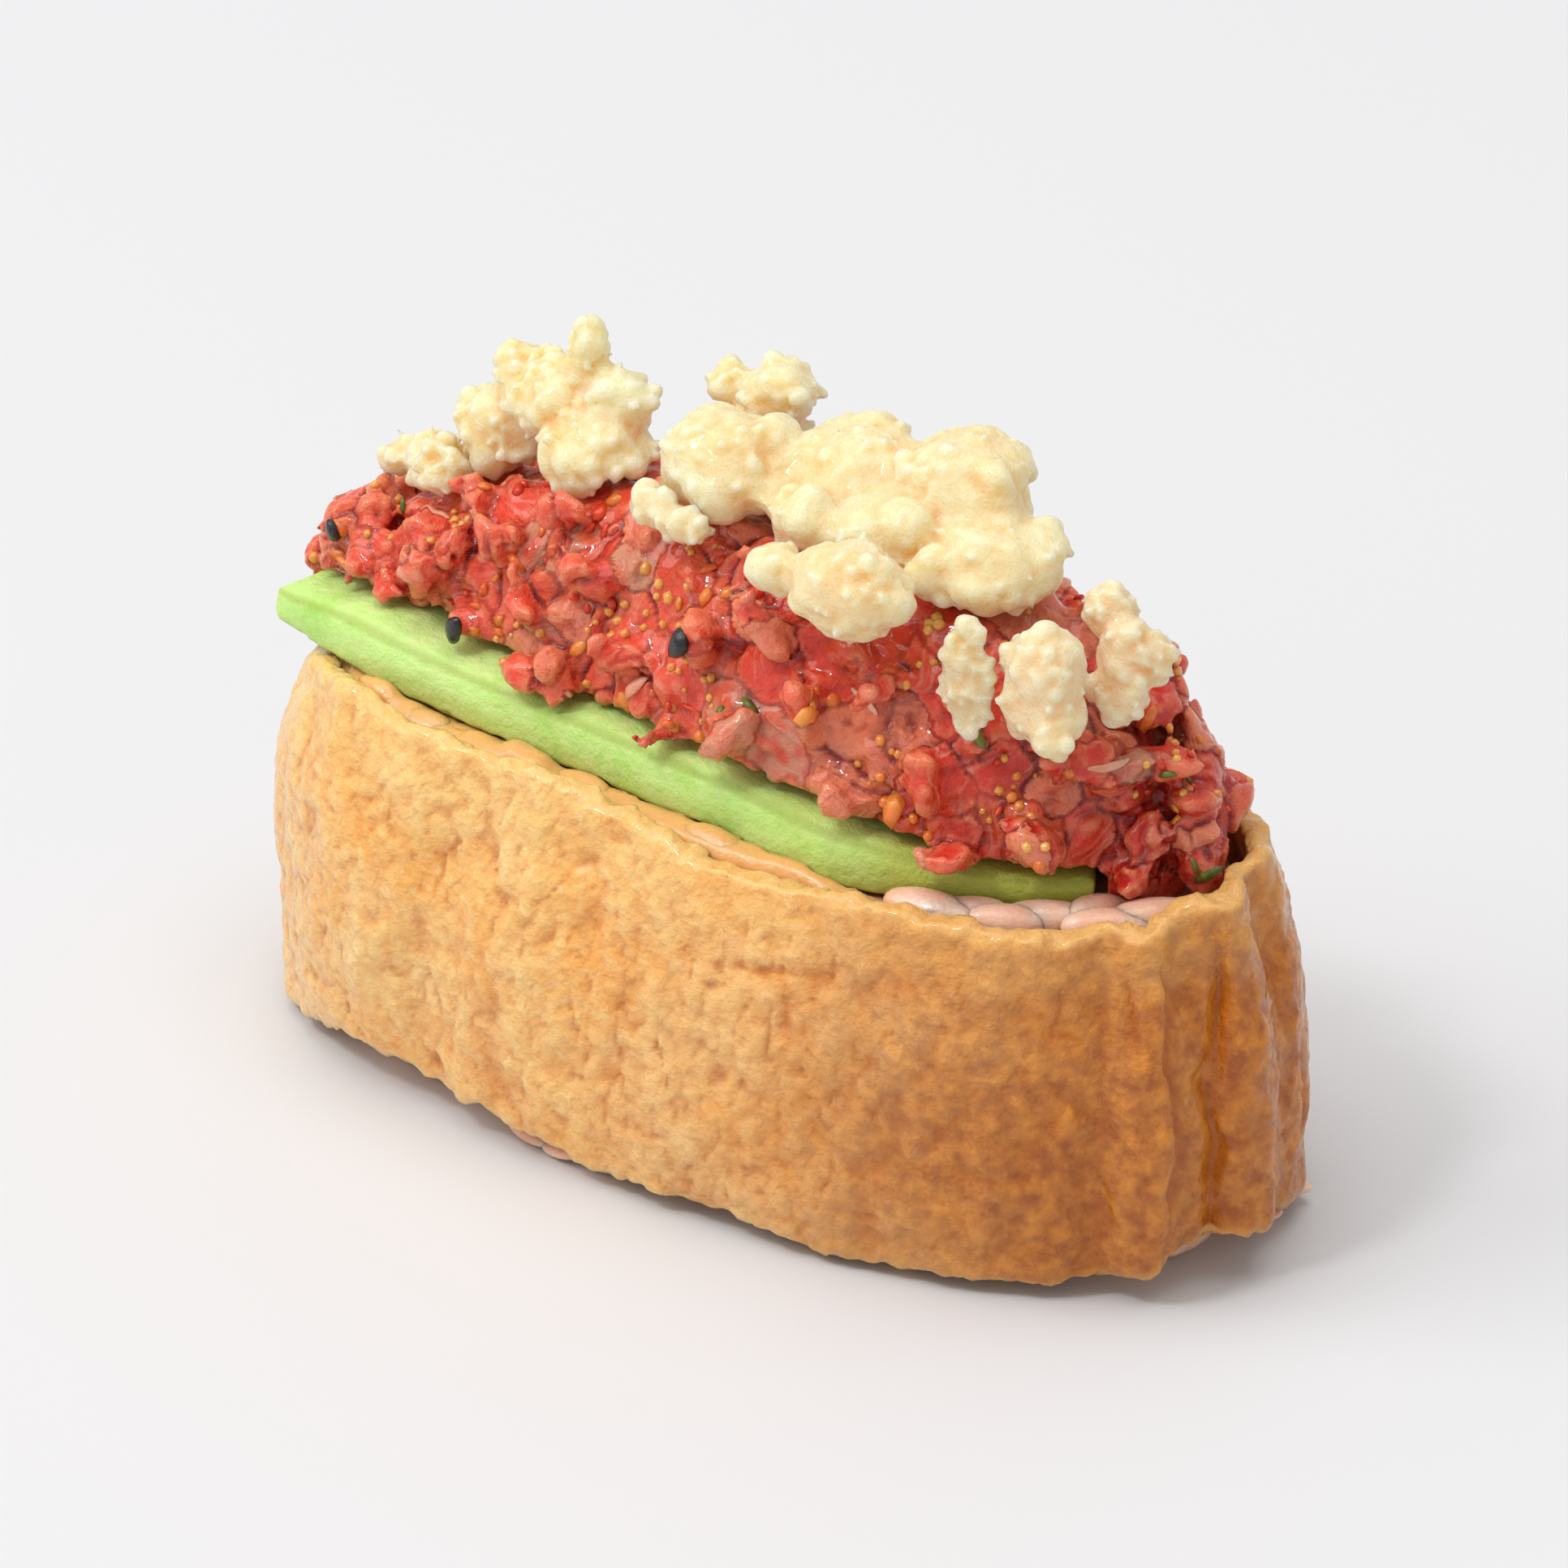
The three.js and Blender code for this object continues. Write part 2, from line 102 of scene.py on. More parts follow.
def remesh(piece, size, rounds=4):
    """Turns a piece into even small faces, then rubs off the facets it had."""
    modify(piece, "REMESH", mode="VOXEL", voxel_size=size * MM, use_smooth_shade=True)
    modify(piece, "SMOOTH", factor=0.5, iterations=rounds)
    print(piece.name, "has", len(piece.data.polygons), "faces")


def join(first, second):
    """Joins the second object into the first."""
    take(first)
    second.select_set(True)
    bpy.ops.object.join()
    return first


# %% [markdown]
# A skin's relief is worked out for all its points at once. These helpers read and write a mesh's
# points in millimetres, and leave numbers on every point for a material to read later.

# %% Points in and out of a mesh
def points_of(piece):
    flat = np.empty(len(piece.data.vertices) * 3)
    piece.data.vertices.foreach_get("co", flat)
    return flat.reshape(-1, 3) / MM


def normals_of(piece):
    flat = np.empty(len(piece.data.vertices) * 3, dtype=np.float32)
    piece.data.vertex_normals.foreach_get("vector", flat)
    return flat.reshape(-1, 3).astype(float)


def move_points(piece, points):
    piece.data.vertices.foreach_set("co", (points * MM).ravel())
    piece.data.update()


def leave_numbers(piece, **numbers):
    for name, values in numbers.items():
        layer = piece.data.attributes.new(name, "FLOAT", "POINT")
        layer.data.foreach_set("value", np.asarray(values, dtype=np.float32))


def bulge_of(piece, rounds):
    """How far each point stands out of what is round it: a ridge is positive, a hollow negative."""
    pairs = np.empty(len(piece.data.edges) * 2, dtype=np.int32)
    piece.data.edges.foreach_get("vertices", pairs)
    a, b = pairs.reshape(-1, 2).T
    points = points_of(piece)
    soft, count = points.copy(), len(points)
    ends = np.bincount(a, minlength=count) + np.bincount(b, minlength=count)
    for _ in range(rounds):
        near = [
            np.bincount(a, soft[b, k], count) + np.bincount(b, soft[a, k], count)
            for k in range(3)]
        soft = 0.5 * soft + 0.5 * np.stack(near, axis=1) / ends[:, None]
    return ((points - soft) * normals_of(piece)).sum(axis=1)


def tree_of(*pieces):
    """A search tree over the faces of some objects, in millimetres."""
    points, faces = [], []
    for piece in pieces:
        start = len(points)
        points.extend(map(tuple, points_of(piece)))
        faces.extend([start + v for v in face.vertices] for face in piece.data.polygons)
    return BVHTree.FromPolygons(points, faces)


# %% [markdown]
# ## Noise
#
# Food is never smooth. Two kinds of noise make nearly all of its relief: soft noise, for gentle
# unevenness, and scattered cells, for blisters, pores and fine foam. Both are worked out from whole
# numbers, so they come out the same on every run.

# %% Noise on many points at once
def hashed(cell, seed):
    """A repeatable number from 0 to 1 for each whole-number cell."""
    c = cell.astype(np.int64).astype(np.uint32)
    x, y, z = c.T
    h = x * np.uint32(73856093) ^ y * np.uint32(19349663) ^ z * np.uint32(83492791)
    h = h + np.uint32((seed * 7919 + 101) % 2**32)
    h = (h ^ (h >> np.uint32(15))) * np.uint32(0x2C1B3C6D)
    h = (h ^ (h >> np.uint32(12))) * np.uint32(0x297A2D39)
    return (h ^ (h >> np.uint32(15))).astype(float) / 4294967295.0


def soft_noise(points, size, seed=0):
    """Smooth noise of about -1 to 1. Its lumps are about size across, which may differ by axis."""
    q = points / size
    base = np.floor(q)
    f = q - base
    u = f * f * f * (f * (f * 6 - 15) + 10)
    total = np.zeros(len(points))
    for corner in itertools.product((0, 1), repeat=3):
        cell = base + corner
        slope = np.stack([hashed(cell, seed + k) for k in range(3)], axis=1) * 2 - 1
        weight = np.prod(np.where(np.array(corner) == 1, u, 1 - u), axis=1)
        total += weight * (slope * (f - corner)).sum(axis=1)
    return 1.6 * total


def wander(points, size, seed):
    """A soft noise for each axis, to shift points by."""
    return np.stack([soft_noise(points, size, seed + k) for k in range(3)], axis=1)


def scattered_cells(points, size, seed=0):
    """The distance to the nearest of scattered spots, in cells, and that spot's own number."""
    q = points / size
    base = np.floor(q)
    nearest = np.full(len(points), 9.0)
    own = np.zeros(len(points))
    for step in itertools.product((-1, 0, 1), repeat=3):
        cell = base + step
        spot = cell + np.stack([hashed(cell, seed + k) for k in range(3)], axis=1)
        away = np.linalg.norm(q - spot, axis=1)
        closer = away < nearest
        own = np.where(closer, hashed(cell, seed + 7), own)
        nearest = np.where(closer, away, nearest)
    return nearest, own


def ramp(value, low, high):
    """0 below low, 1 above high, and a smooth rise between."""
    t = np.clip((value - low) / (high - low), 0, 1)
    return t * t * (3 - 2 * t)


some_points = np.random.default_rng(1).uniform(0, 50, (2000, 3))
print("noise spans", np.round(np.ptp(soft_noise(some_points, 3.0)), 2))

# %% [markdown]
# ## The fried tofu
#
# Fried tofu is a thin spongy sheet whose skin has blistered in the oil and then simmered soft. It
# shows low blisters and pebbles of 1 to 2 mm, longer wrinkles that run up the wall, sharp pleats
# where the band turns round its end, and ragged cut edges. The blisters come from scattered cells,
# the wrinkles from stretched noise, and each crease from its own line, drawn on the wall.

# %% The band's creases
CREASES = [
    # depth, width, then the line's points
    (0.5, 0.5, [(32.3, -9.6, 25.2), (33.2, -9.6, 22.4), (33.8, -9.7, 19.0)]),
    (0.85, 0.6, [(34.5, -6.6, 25.6), (35.7, -8.3, 18.2), (36.4, -8.7, 9.7), (36.6, -8.8, 0.0)]),
    (0.8, 0.6, [(36.2, -4.0, 27.5), (37.0, -4.8, 20.5), (37.6, -5.6, 14.5)]),
    (1.0, 0.7, [(36.8, -6.4, 18.8), (37.5, -5.9, 10.5), (37.4, -5.8, 0.0)]),
    (0.8, 0.6, [(37.4, -0.9, 26.5), (38.8, 0.4, 18.5), (39.2, 1.5, 9.0)]),
    (0.5, 0.5, [(38.6, 4.0, 24.0), (39.2, 4.4, 14.0), (38.8, 5.0, 5.0)]),
    (0.18, 0.45, [
        (3.0, -16.7, 19.3), (7.6, -16.5, 19.5), (10.7, -16.4, 19.9), (14.3, -16.2, 20.8),
        (16.5, -16.0, 22.6)]),
    (0.22, 0.6, [(11.3, -16.4, 20.0), (12.0, -17.0, 17.7), (11.7, -17.5, 13.0)]),
    (0.3, 1.6, [(-11.4, -17.2, 15.4), (-11.3, -17.6, 9.3), (-11.4, -17.5, 0.0)]),
    (0.2, 0.5, [(-18.0, -16.0, 19.9), (-13.0, -16.6, 18.6), (-8.5, -16.8, 18.9)]),
    (0.2, 0.7, [(24.4, -15.3, 24.0), (22.8, -16.0, 17.0), (18.6, -17.0, 12.0)]),
    (0.2, 0.7, [(31.5, -12.2, 16.5), (28.4, -13.9, 11.5), (27.0, -14.6, 6.0)]),
    (0.2, 0.6, [(-30.5, -11.0, 22.0), (-32.0, -10.6, 13.0), (-31.0, -11.0, 4.0)]),
    (0.6, 0.6, [(-37.5, 5.0, 22.0), (-38.6, 5.5, 14.0), (-38.0, 5.2, 3.0)]),
    (0.5, 0.7, [(-36.0, 9.5, 22.0), (-36.8, 9.8, 6.0)]),
    (0.3, 0.5, [(-14.0, 17.0, 20.0), (-8.0, 17.2, 18.5), (-2.0, 17.0, 19.6)]),
    (0.3, 0.8, [(8.0, 17.2, 18.0), (8.8, 17.4, 9.0), (8.2, 17.0, 1.0)]),
    (0.5, 0.6, [(30.0, 12.5, 24.0), (31.0, 13.2, 14.0), (30.4, 13.0, 3.0)]),
]


def along_line(points, line, outwards):
    """How far each point is to the side of a line, with a sign, and a fade towards the line's ends."""
    best = np.full(len(points), 1e9)
    side, along = np.zeros(len(points)), np.zeros(len(points))
    spans = [np.linalg.norm(np.subtract(b, a)) for a, b in zip(line[:-1], line[1:])]
    done = 0.0
    for a, b, span in zip(line[:-1], line[1:], spans):
        a, way = np.array(a), np.subtract(b, a) / span
        reach = np.clip((points - a) @ way, 0, span)
        off = points - a - reach[:, None] * way
        distance = np.linalg.norm(off, axis=1)
        nearer = distance < best
        sign = np.sign((np.cross(way, outwards) * off).sum(axis=1))
        best = np.where(nearer, distance, best)
        side = np.where(nearer, sign, side)
        along = np.where(nearer, (done + reach) / sum(spans), along)
        done += span
    return best * side, np.sin(np.pi * np.clip(along, 0.02, 0.98)) ** 0.6


def creased(points, outwards):
    """Every crease, with the fold of skin that laps over one side of it."""
    shifted = points + 0.5 * wander(points, 3.2, 60)
    total = np.zeros(len(points))
    for depth, width, line in CREASES:
        aside, fade = along_line(shifted, line, outwards)
        aside = aside / width
        lap = np.where(aside > 0, aside * np.exp(-aside / 1.6), 0.0)
        total += depth * fade * (0.75 * lap - np.exp(-(aside**2)))
    return total


# %% The band, and which way its wall faces
# heights: the cut rim fades in above one, the cut foot below the other
RIM_STARTS, RIM_FULL = 21, 24
FOOT_STARTS, FOOT_FADE = 6, 2
tofu = copy_of("tofu_band", "fried_tofu")
remesh(tofu, TOFU_FACE, rounds=9)
at, facing = points_of(tofu), normals_of(tofu)
middle_x = (at[:, 0].max() + at[:, 0].min()) / 2
spread = (np.ptp(at[:, 0]) / 2, np.ptp(at[:, 1]) / 2)
out_x, out_y = (at[:, 0] - middle_x) / spread[0] ** 2, at[:, 1] / spread[1] ** 2
out = np.stack([out_x, out_y, np.zeros(len(at))], axis=1)
out /= np.linalg.norm(out, axis=1)[:, None]
outwards = (facing * out).sum(axis=1)
outer, inner = ramp(outwards, -0.1, 0.5), ramp(-outwards, -0.1, 0.5)
rim = ramp(facing[:, 2], 0.0, 0.6) * ramp(at[:, 2], RIM_STARTS, RIM_FULL)
foot = ramp(-facing[:, 2], 0.0, 0.6) * ramp(FOOT_STARTS - at[:, 2], 0, FOOT_FADE)
print("outer points", int((outer > 0.5).sum()))

# %% The band's skin
# how wide, and how tall, each kind of lump is
SWELLS, HUMPS = np.array([7.0, 7.0, 9.0]), np.array([2.6, 2.6, 3.8])
BLISTERS, PEBBLES = np.array([1.7, 1.7, 2.1]), np.array([0.85, 0.85, 1.05])
WRINKLES = np.array([3.0, 3.0, 5.5])
warp = 0.6 * wander(at, 2.0, 70)
crease = creased(at, out)
blister, blister_own = scattered_cells(at + warp, BLISTERS, 11)
pebble, pebble_own = scattered_cells(at + 0.7 * warp, PEBBLES, 12)
relief = 0.3 * soft_noise(at, SWELLS, 1)
relief += 0.3 * soft_noise(at + warp, HUMPS, 2)
relief += 0.35 * (0.5 - blister) * blister_own + 0.32 * (0.45 - pebble) * (0.25 + 0.75 * pebble_own)
relief -= 0.12 * ramp(0.13 - np.abs(soft_noise(at + warp, WRINKLES, 6)), 0, 0.13)
pore, _ = scattered_cells(at, 1.5, 13)
relief_inner = 0.25 * soft_noise(at, 2.5, 3) - 0.6 * ramp(0.42 - pore, 0, 0.25)
move = outer * (relief + crease) + inner * (relief_inner + 0.4 * crease)
frayed = 0.35 * soft_noise(at, 1.1, 4) + 0.4 * soft_noise(at, 2.7, 5)
at = at + facing * move[:, None]
at[:, 2] += frayed * (rim + foot)
at[:, 2] = np.maximum(at[:, 2], 0.05)
move_points(tofu, at)
modify(tofu, "SMOOTH", factor=0.3, iterations=1)

# %% Numbers for the band's colours
leave_numbers(
    tofu,
    # ridge: painted highlight on the pebbles where positive, painted shade where negative
    ridge=np.clip(bulge_of(tofu, 9) / 0.16, -1, 1),
    # hollows and creases: painted shade, a darker amber
    hollow=ramp(-(relief + 1.2 * crease), -0.1, 0.6),
    cut=np.maximum(inner, np.maximum(rim, 0.6 * foot)),
    # browner towards the pleated end: partly the tofu's own colour, partly painted shade
    brown=ramp(at[:, 0] - 0.2 * at[:, 1] + 8 * soft_noise(at, 14, 8), -2, 36))
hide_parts("tofu_band")
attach(tofu, "root")

# %% [markdown]
# ## The avocado slice
#
# A slice of ripe avocado is cut with a knife, so its faces are flat and matt and its edges are thin
# and a little darker. It starts from its solid; very low ripples and a few nicks along the edges
# make it look cut and handled.

# %% The slice
avocado = copy_of("avocado_slice", "avocado")
remesh(avocado, SLICE_FACE, rounds=14)
at, facing = points_of(avocado), normals_of(avocado)
flat_side = np.abs(facing[:, 2])
edge = ramp(np.minimum(flat_side, np.sqrt(1 - np.clip(flat_side, 0, 1) ** 2)), 0.3, 0.62)
ripple = 0.16 * soft_noise(at, np.array([5.0, 5.0, 3.0]), 20) + 0.07 * soft_noise(at, 1.2, 21)
ripple -= edge * 0.25 * ramp(soft_noise(at, 1.6, 22), 0.35, 0.8)
move_points(avocado, at + facing * ripple[:, None])
leave_numbers(avocado, edge=edge, ripe=ramp(at[:, 0] + 5 * soft_noise(at, 6, 23), 5, 24))
print("the slice is", np.round(np.ptp(at, axis=0), 1), "mm")
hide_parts("avocado_slice")
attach(avocado, "root")

# %% [markdown]
# ## The crunch
#
# The puffs are drops of batter that burst into foam in hot oil. Each is a few swollen lobes, their
# skin crowded with bubbles of half a millimetre to 6 mm, and foam fills the gaps between the lobes.
# A solid gives the lobes. Many balls, one shape copied over and over, are set in its skin and
# remeshed together with it, which leaves the tight creases that foam has.

# %% One ball, copied
def ball_points(rings):
    """The points and faces of a ball of radius 1."""
    bpy.ops.object.select_all(action="DESELECT")
    bpy.ops.mesh.primitive_ico_sphere_add(subdivisions=rings, radius=1.0)
    ball = bpy.context.active_object
    points = points_of(ball) * MM
    faces = np.array([face.vertices[:] for face in ball.data.polygons])
    bpy.data.objects.remove(ball)
    return points, faces


def gathered(name, shapes):
    """One object from many (points, faces) shapes, given in millimetres."""
    counts = np.cumsum([0] + [len(points) for points, _ in shapes])
    points = np.concatenate([points for points, _ in shapes]) * MM
    faces = np.concatenate([faces + start for (_, faces), start in zip(shapes, counts)])
    mesh = bpy.data.meshes.new(name)
    mesh.from_pydata(points.tolist(), [], faces.tolist())
    mesh.update()
    return placed(name, mesh)


def spots_on(piece, count, draw):
    """Evenly drawn places on a piece's skin, with the way each faces."""
    mesh = piece.data
    mesh.calc_loop_triangles()
    corners = np.empty(len(mesh.loop_triangles) * 3, dtype=np.int32)
    mesh.loop_triangles.foreach_get("vertices", corners)
    tri = points_of(piece)[corners.reshape(-1, 3)]
    cross = np.cross(tri[:, 1] - tri[:, 0], tri[:, 2] - tri[:, 0])
    area = np.linalg.norm(cross, axis=1)
    pick = draw.choice(len(tri), count, p=area / area.sum())
    u, v = draw.random(count), draw.random(count)
    flip = u + v > 1
    u[flip], v[flip] = 1 - u[flip], 1 - v[flip]
    first, second, third = (tri[pick, k] for k in range(3))
    places = first + u[:, None] * (second - first) + v[:, None] * (third - first)
    return places, cross[pick] / area[pick][:, None]


BALL, BALL_FACES = ball_points(2)
print("a ball has", len(BALL_FACES), "faces")

# %% Room for what is set on a skin
PLACES_DRAWN = 6000


def stands_out(points, tree):
    """How far the outermost of the points lies outside the surface that the tree holds."""
    most = -9.0
    for point in points:
        near, way, _, away = tree.find_nearest(Vector(point))
        most = max(most, away if (Vector(point) - near).dot(way) > 0 else -away)
    return most


def drawn_in(piece, size, depth, filled=0.0):
    """Draws a solid's skin in, to leave room for what is set on it, and fills its gaps if asked."""
    places_on = spots_on(piece, PLACES_DRAWN, np.random.default_rng(9))
    remesh(piece, size, rounds=2)
    if filled:
        move_points(piece, points_of(piece) + filled * normals_of(piece))
        remesh(piece, size, rounds=2)
    move_points(piece, points_of(piece) - (depth + filled) * normals_of(piece))
    return places_on


# %% The puffs, one after another
SMALLEST_BUBBLE = 0.2


def crunch_puff(node, bubbles, tone, filled, seed):
    """One puff: gaps between its lobes fill with foam, and bubbles swell out of its drawn-in core."""
    draw = np.random.default_rng(seed)
    puff = copy_of(node, node + "_foam")
    solid = tree_of(puff)
    places, ways = drawn_in(puff, size=0.3, depth=0.3, filled=filled)
    shapes = []
    for count, low, high, proud in bubbles:
        for k in draw.choice(len(places), count, replace=False):
            size = low + (high - low) * draw.random() ** 2
            half = size * draw.uniform(0.8, 1.25, 3)
            while half.max() > SMALLEST_BUBBLE:
                sunk = half.mean() - draw.uniform(-0.15, proud)
                body = BALL * half + places[k] - ways[k] * sunk
                if stands_out(body[::5], solid) < proud + 0.15:
                    shapes.append((body, BALL_FACES))
                    break
                half = half * 0.75
    puff = join(puff, gathered(node + "_bubbles", shapes))
    remesh(puff, PUFF_FACE, rounds=3)
    at, facing = points_of(puff), normals_of(puff)
    fold = 0.25 * soft_noise(at, np.array([3.2, 3.2, 2.0]), seed) + 0.1 * soft_noise(at, 1.1, seed + 1)
    fine, fine_own = scattered_cells(at, 0.75, seed + 2)
    move_points(puff, at + facing * (fold + 0.09 * (0.5 - fine) * fine_own)[:, None])
    # ridge drives a painted highlight on bulges and painted shade in creases
    ridge = np.clip(bulge_of(puff, 12) / 0.12, -1, 1)
    leave_numbers(puff, ridge=ridge, tone=np.full(len(at), tone))
    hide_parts(node)
    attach(puff, "root")
    return puff


PUFFS = {
    # bubbles as (count, smallest and largest radius, how proud), how beige it is, how far gaps fill
    "crunch_main": ([(50, 1.5, 3.0, 0.35), (90, 0.5, 1.1, 0.25), (200, 0.25, 0.5, 0.2)], 0.1, 1.1),
    "crunch_tall": ([(30, 1.0, 1.9, 0.4), (150, 0.4, 0.9, 0.55), (300, 0.25, 0.5, 0.35)], 0.0, 0.8),
    "crunch_low": ([(10, 1.4, 2.4, 0.2), (36, 0.5, 1.0, 0.18), (70, 0.25, 0.45, 0.12)], 0.3, 1.0),
    "crunch_back": ([(16, 0.9, 1.6, 0.3), (80, 0.4, 0.8, 0.55), (140, 0.25, 0.45, 0.35)], 0.05, 1.2),
    "crunch_left": ([(16, 0.8, 1.3, 0.3), (70, 0.35, 0.7, 0.5), (140, 0.22, 0.4, 0.35)], 0.35, 1.0),
    "crunch_pale": ([(10, 0.8, 1.2, 0.2), (50, 0.3, 0.6, 0.25)], 0.5, 0.8),
    "crunch_flake": ([(30, 0.4, 0.8, 0.1), (70, 0.2, 0.4, 0.12)], 0.85, 0.8),
    "crunch_puff": ([(12, 1.2, 2.0, 0.18), (36, 0.5, 0.9, 0.15), (70, 0.25, 0.45, 0.12)], 0.65, 1.0),
    "crunch_clear": ([(20, 0.8, 1.3, 0.25), (60, 0.35, 0.7, 0.25), (90, 0.22, 0.4, 0.2)], 0.95, 0.8),
}
puffs = []
for order, (node, (bubbles, tone, filled)) in enumerate(PUFFS.items()):
    puffs.append(crunch_puff(node, bubbles, tone, filled, 300 + 10 * order))

# %% [markdown]
# ## The chopped tuna
#
# Raw tuna, chopped with a knife, is a heap of soft wet pieces of 1.5 to 6 mm with pale sinews that
# run through each in its own direction. The solid gives the heap and its largest pieces. Hundreds
# more are set in its skin and remeshed with it. Then each point is told which piece it belongs to,
# so that colour and grain change from piece to piece as they do in the real heap.

# %% Chopped pieces set in the heap
# the way to the camera, kept here because the slice must stay in sight of it
AZIMUTH, ELEVATION = math.radians(34), math.radians(28)
back = Vector((
    math.sin(AZIMUTH) * math.cos(ELEVATION),
    -math.cos(AZIMUTH) * math.cos(ELEVATION),
    math.sin(ELEVATION)))

heap = copy_of("tuna", "chopped_tuna")
bare = tree_of(heap)
neighbours = tree_of(*puffs, tofu, avocado)
slice_tree = tree_of(avocado)
places, ways = drawn_in(heap, size=0.5, depth=0.6)
draw = np.random.default_rng(77)
LUMP, LUMP_FACES = ball_points(3)
# how far to look for neighbours, and for the slice behind a piece
NEARBY, ACROSS_SLICE = 3.0, 14.0


def clear_of(points, tree, gap=0.15):
    """True where none of the points is inside, or within a gap of, what the tree holds."""
    for point in points:
        near, way, _, away = tree.find_nearest(Vector(point), NEARBY)
        if near is not None and (away < gap or (Vector(point) - near).dot(way) < 0):
            return False
    return True


def hides_slice(points):
    """True where a point would stand between the camera and a part of the slice in plain view."""
    for point in points:
        hit, way, _, _ = slice_tree.ray_cast(Vector(point), -back, ACROSS_SLICE)
        if hit is None or way.dot(back) <= 0:
            continue
        if bare.ray_cast(hit + 0.3 * back, back)[0] is None:
            return True
    return False


def turned(points, spin):
    return points @ np.array(spin.to_matrix()).T


def leaning(way, tilt, draw):
    """A drawn turn about the way a place faces, leaning from it by about tilt."""
    lean = Euler((draw.normal(0, tilt), draw.normal(0, tilt), draw.uniform(0, FULL_TURN)))
    return Vector(way).to_track_quat("Z", "Y") @ lean.to_quaternion()


def chopped(k, half, way, tilt):
    """One chopped piece: a dented ball, squashed, its flat side tilted away from the heap's skin."""
    dent = 1 + 0.25 * soft_noise(LUMP * 1.1 + 10 * k, 0.8, 90)
    dent += 0.1 * soft_noise(LUMP + 10 * k, 0.35, 91)
    spin = leaning(way, tilt, draw)
    return turned(LUMP * dent[:, None] * half, spin), spin


MOST_PROUD = 0.75
KINDS = [
    # how many, half length, half width, half thickness, tilt, how proud
    (380, (1.7, 2.9), (1.2, 2.0), (0.8, 1.3), 0.5, 0.5),
    (260, (0.7, 1.4), (0.5, 1.0), (0.4, 0.7), 0.7, 0.35),
]
lumps, centres, grains, sizes = [], [], [], []
for count, *spans, tilt, proud in KINDS:
    for k in draw.choice(len(places), count, replace=False):
        half = np.array([draw.uniform(*span) for span in spans])
        shape, spin = chopped(k, half, ways[k], tilt)
        rise = (shape @ ways[k]).max()
        centre = places[k] + ways[k] * (draw.uniform(-0.25, proud) - rise)
        for shrink in (1.0, 0.7):
            body = shape * shrink + centre
            some = body[::9]
            fits = clear_of(some, neighbours) and stands_out(some, bare) < MOST_PROUD
            if fits and not hides_slice(some):
                lumps.append((body, LUMP_FACES))
                centres.append(centre)
                sizes.append(half.mean())
                grains.append(np.array(spin @ Vector((1, 0, 0))))
                break
print(len(lumps), "pieces fitted")
heap = join(heap, gathered("tuna_pieces", lumps))
remesh(heap, TUNA_FACE, rounds=2)

# %% Which piece is each point of
at, facing = points_of(heap), normals_of(heap)
finder = KDTree(len(centres))
for k, centre in enumerate(centres):
    finder.insert(Vector(centre), k)
finder.balance()
sizes, centres, grains = np.array(sizes), np.array(centres), np.array(grains)
owner, apart = np.empty(len(at), dtype=int), np.empty(len(at))
for k, point in enumerate(at + 0.5 * wander(at, 1.4, 38)):
    first, second, *_ = sorted((away / sizes[i], i) for _, i, away in finder.find_n(Vector(point), 5))
    owner[k], apart[k] = first[1], second[0] - first[0]
# the seam is where two pieces meet: the skin sinks there, and the colour paints shade along it
seam = np.exp(-((apart / 0.14) ** 2)) * ramp(soft_noise(at, 2.2, 39), -0.35, 0.35)
chance = np.random.default_rng(5).random(len(centres))
along = (grains[owner] * at).sum(axis=1)
across = (np.cross(grains[owner], facing) * (at - centres[owner])).sum(axis=1)
fibre = soft_noise(np.stack([along / 5, across * 1.6, owner * 3.7], axis=1), 1.0, 30)
wrinkle = 0.1 * fibre + 0.2 * soft_noise(at, 1.5, 31) + 0.09 * soft_noise(at, 0.6, 32)
move_points(heap, at + facing * (wrinkle - 0.25 * seam)[:, None])
print("the largest piece owns", int(np.bincount(owner).max()), "points")

# %% Numbers for the tuna's colours
# the pale tip at the left and the pale knot at the middle, with their half sizes
TIP, TIP_SIZE = np.array([-35.2, -3.0, 31.6]), np.array([2.6, 3.0, 2.0])
KNOT, KNOT_SIZE = np.array([2.6, -9.0, 34.0]), np.array([4.6, 3.5, 3.4])
to_right = ramp(at[:, 0] + 8 * soft_noise(at, 9, 33) - 0.5 * (at[:, 2] - 30), -2, 30)
tip = np.linalg.norm((centres - TIP) / TIP_SIZE, axis=1) < 1
knot = np.linalg.norm((centres - KNOT) / KNOT_SIZE, axis=1) < 1
pale = (chance * 37 % 1 < 0.04) | tip | (knot & (chance < 0.75))
leave_numbers(
    heap,
    # ridge: painted highlight on ridges and painted shade in hollows, in the tuna's colours
    ridge=np.clip(bulge_of(heap, 12) / 0.22, -1, 1),
    chance=chance[owner],
    # seams between pieces: they carry painted shade, a near-black red
    seam=seam,
    thin_edge=np.exp(-(((apart - 0.3) / 0.14) ** 2)),
    deep=np.clip(0.75 * to_right + 0.9 * (chance[owner] - 0.45), 0, 1),
    gristle=pale[owner] * ramp(soft_noise(at, 1.2, 37), -0.5, 0.3),
    along=along,
    across=across,
    sauce=ramp(soft_noise(at, 5, 35) + 0.5 * soft_noise(at, 1.6, 36), 0.1, 0.7))
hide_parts("tuna")
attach(heap, "root")

# %% [markdown]
# ## What clings to the tuna
#
# The tuna is dressed with fish roe, chilli flakes and paste, a little green herb, and a few black
# sesame seeds. They are smaller than most pieces of tuna, so each kind is one object: a small
# shape modelled once and copied to its places, half sunk in the heap.

# %% Places for small things
covered = tree_of(*puffs)
heap_tree = tree_of(heap)
DOT, DOT_FACES = ball_points(1)
# how high they start, how much room they need and how far apart they lie
LOWEST, ROOM, APART = 26, 0.9, 0.5


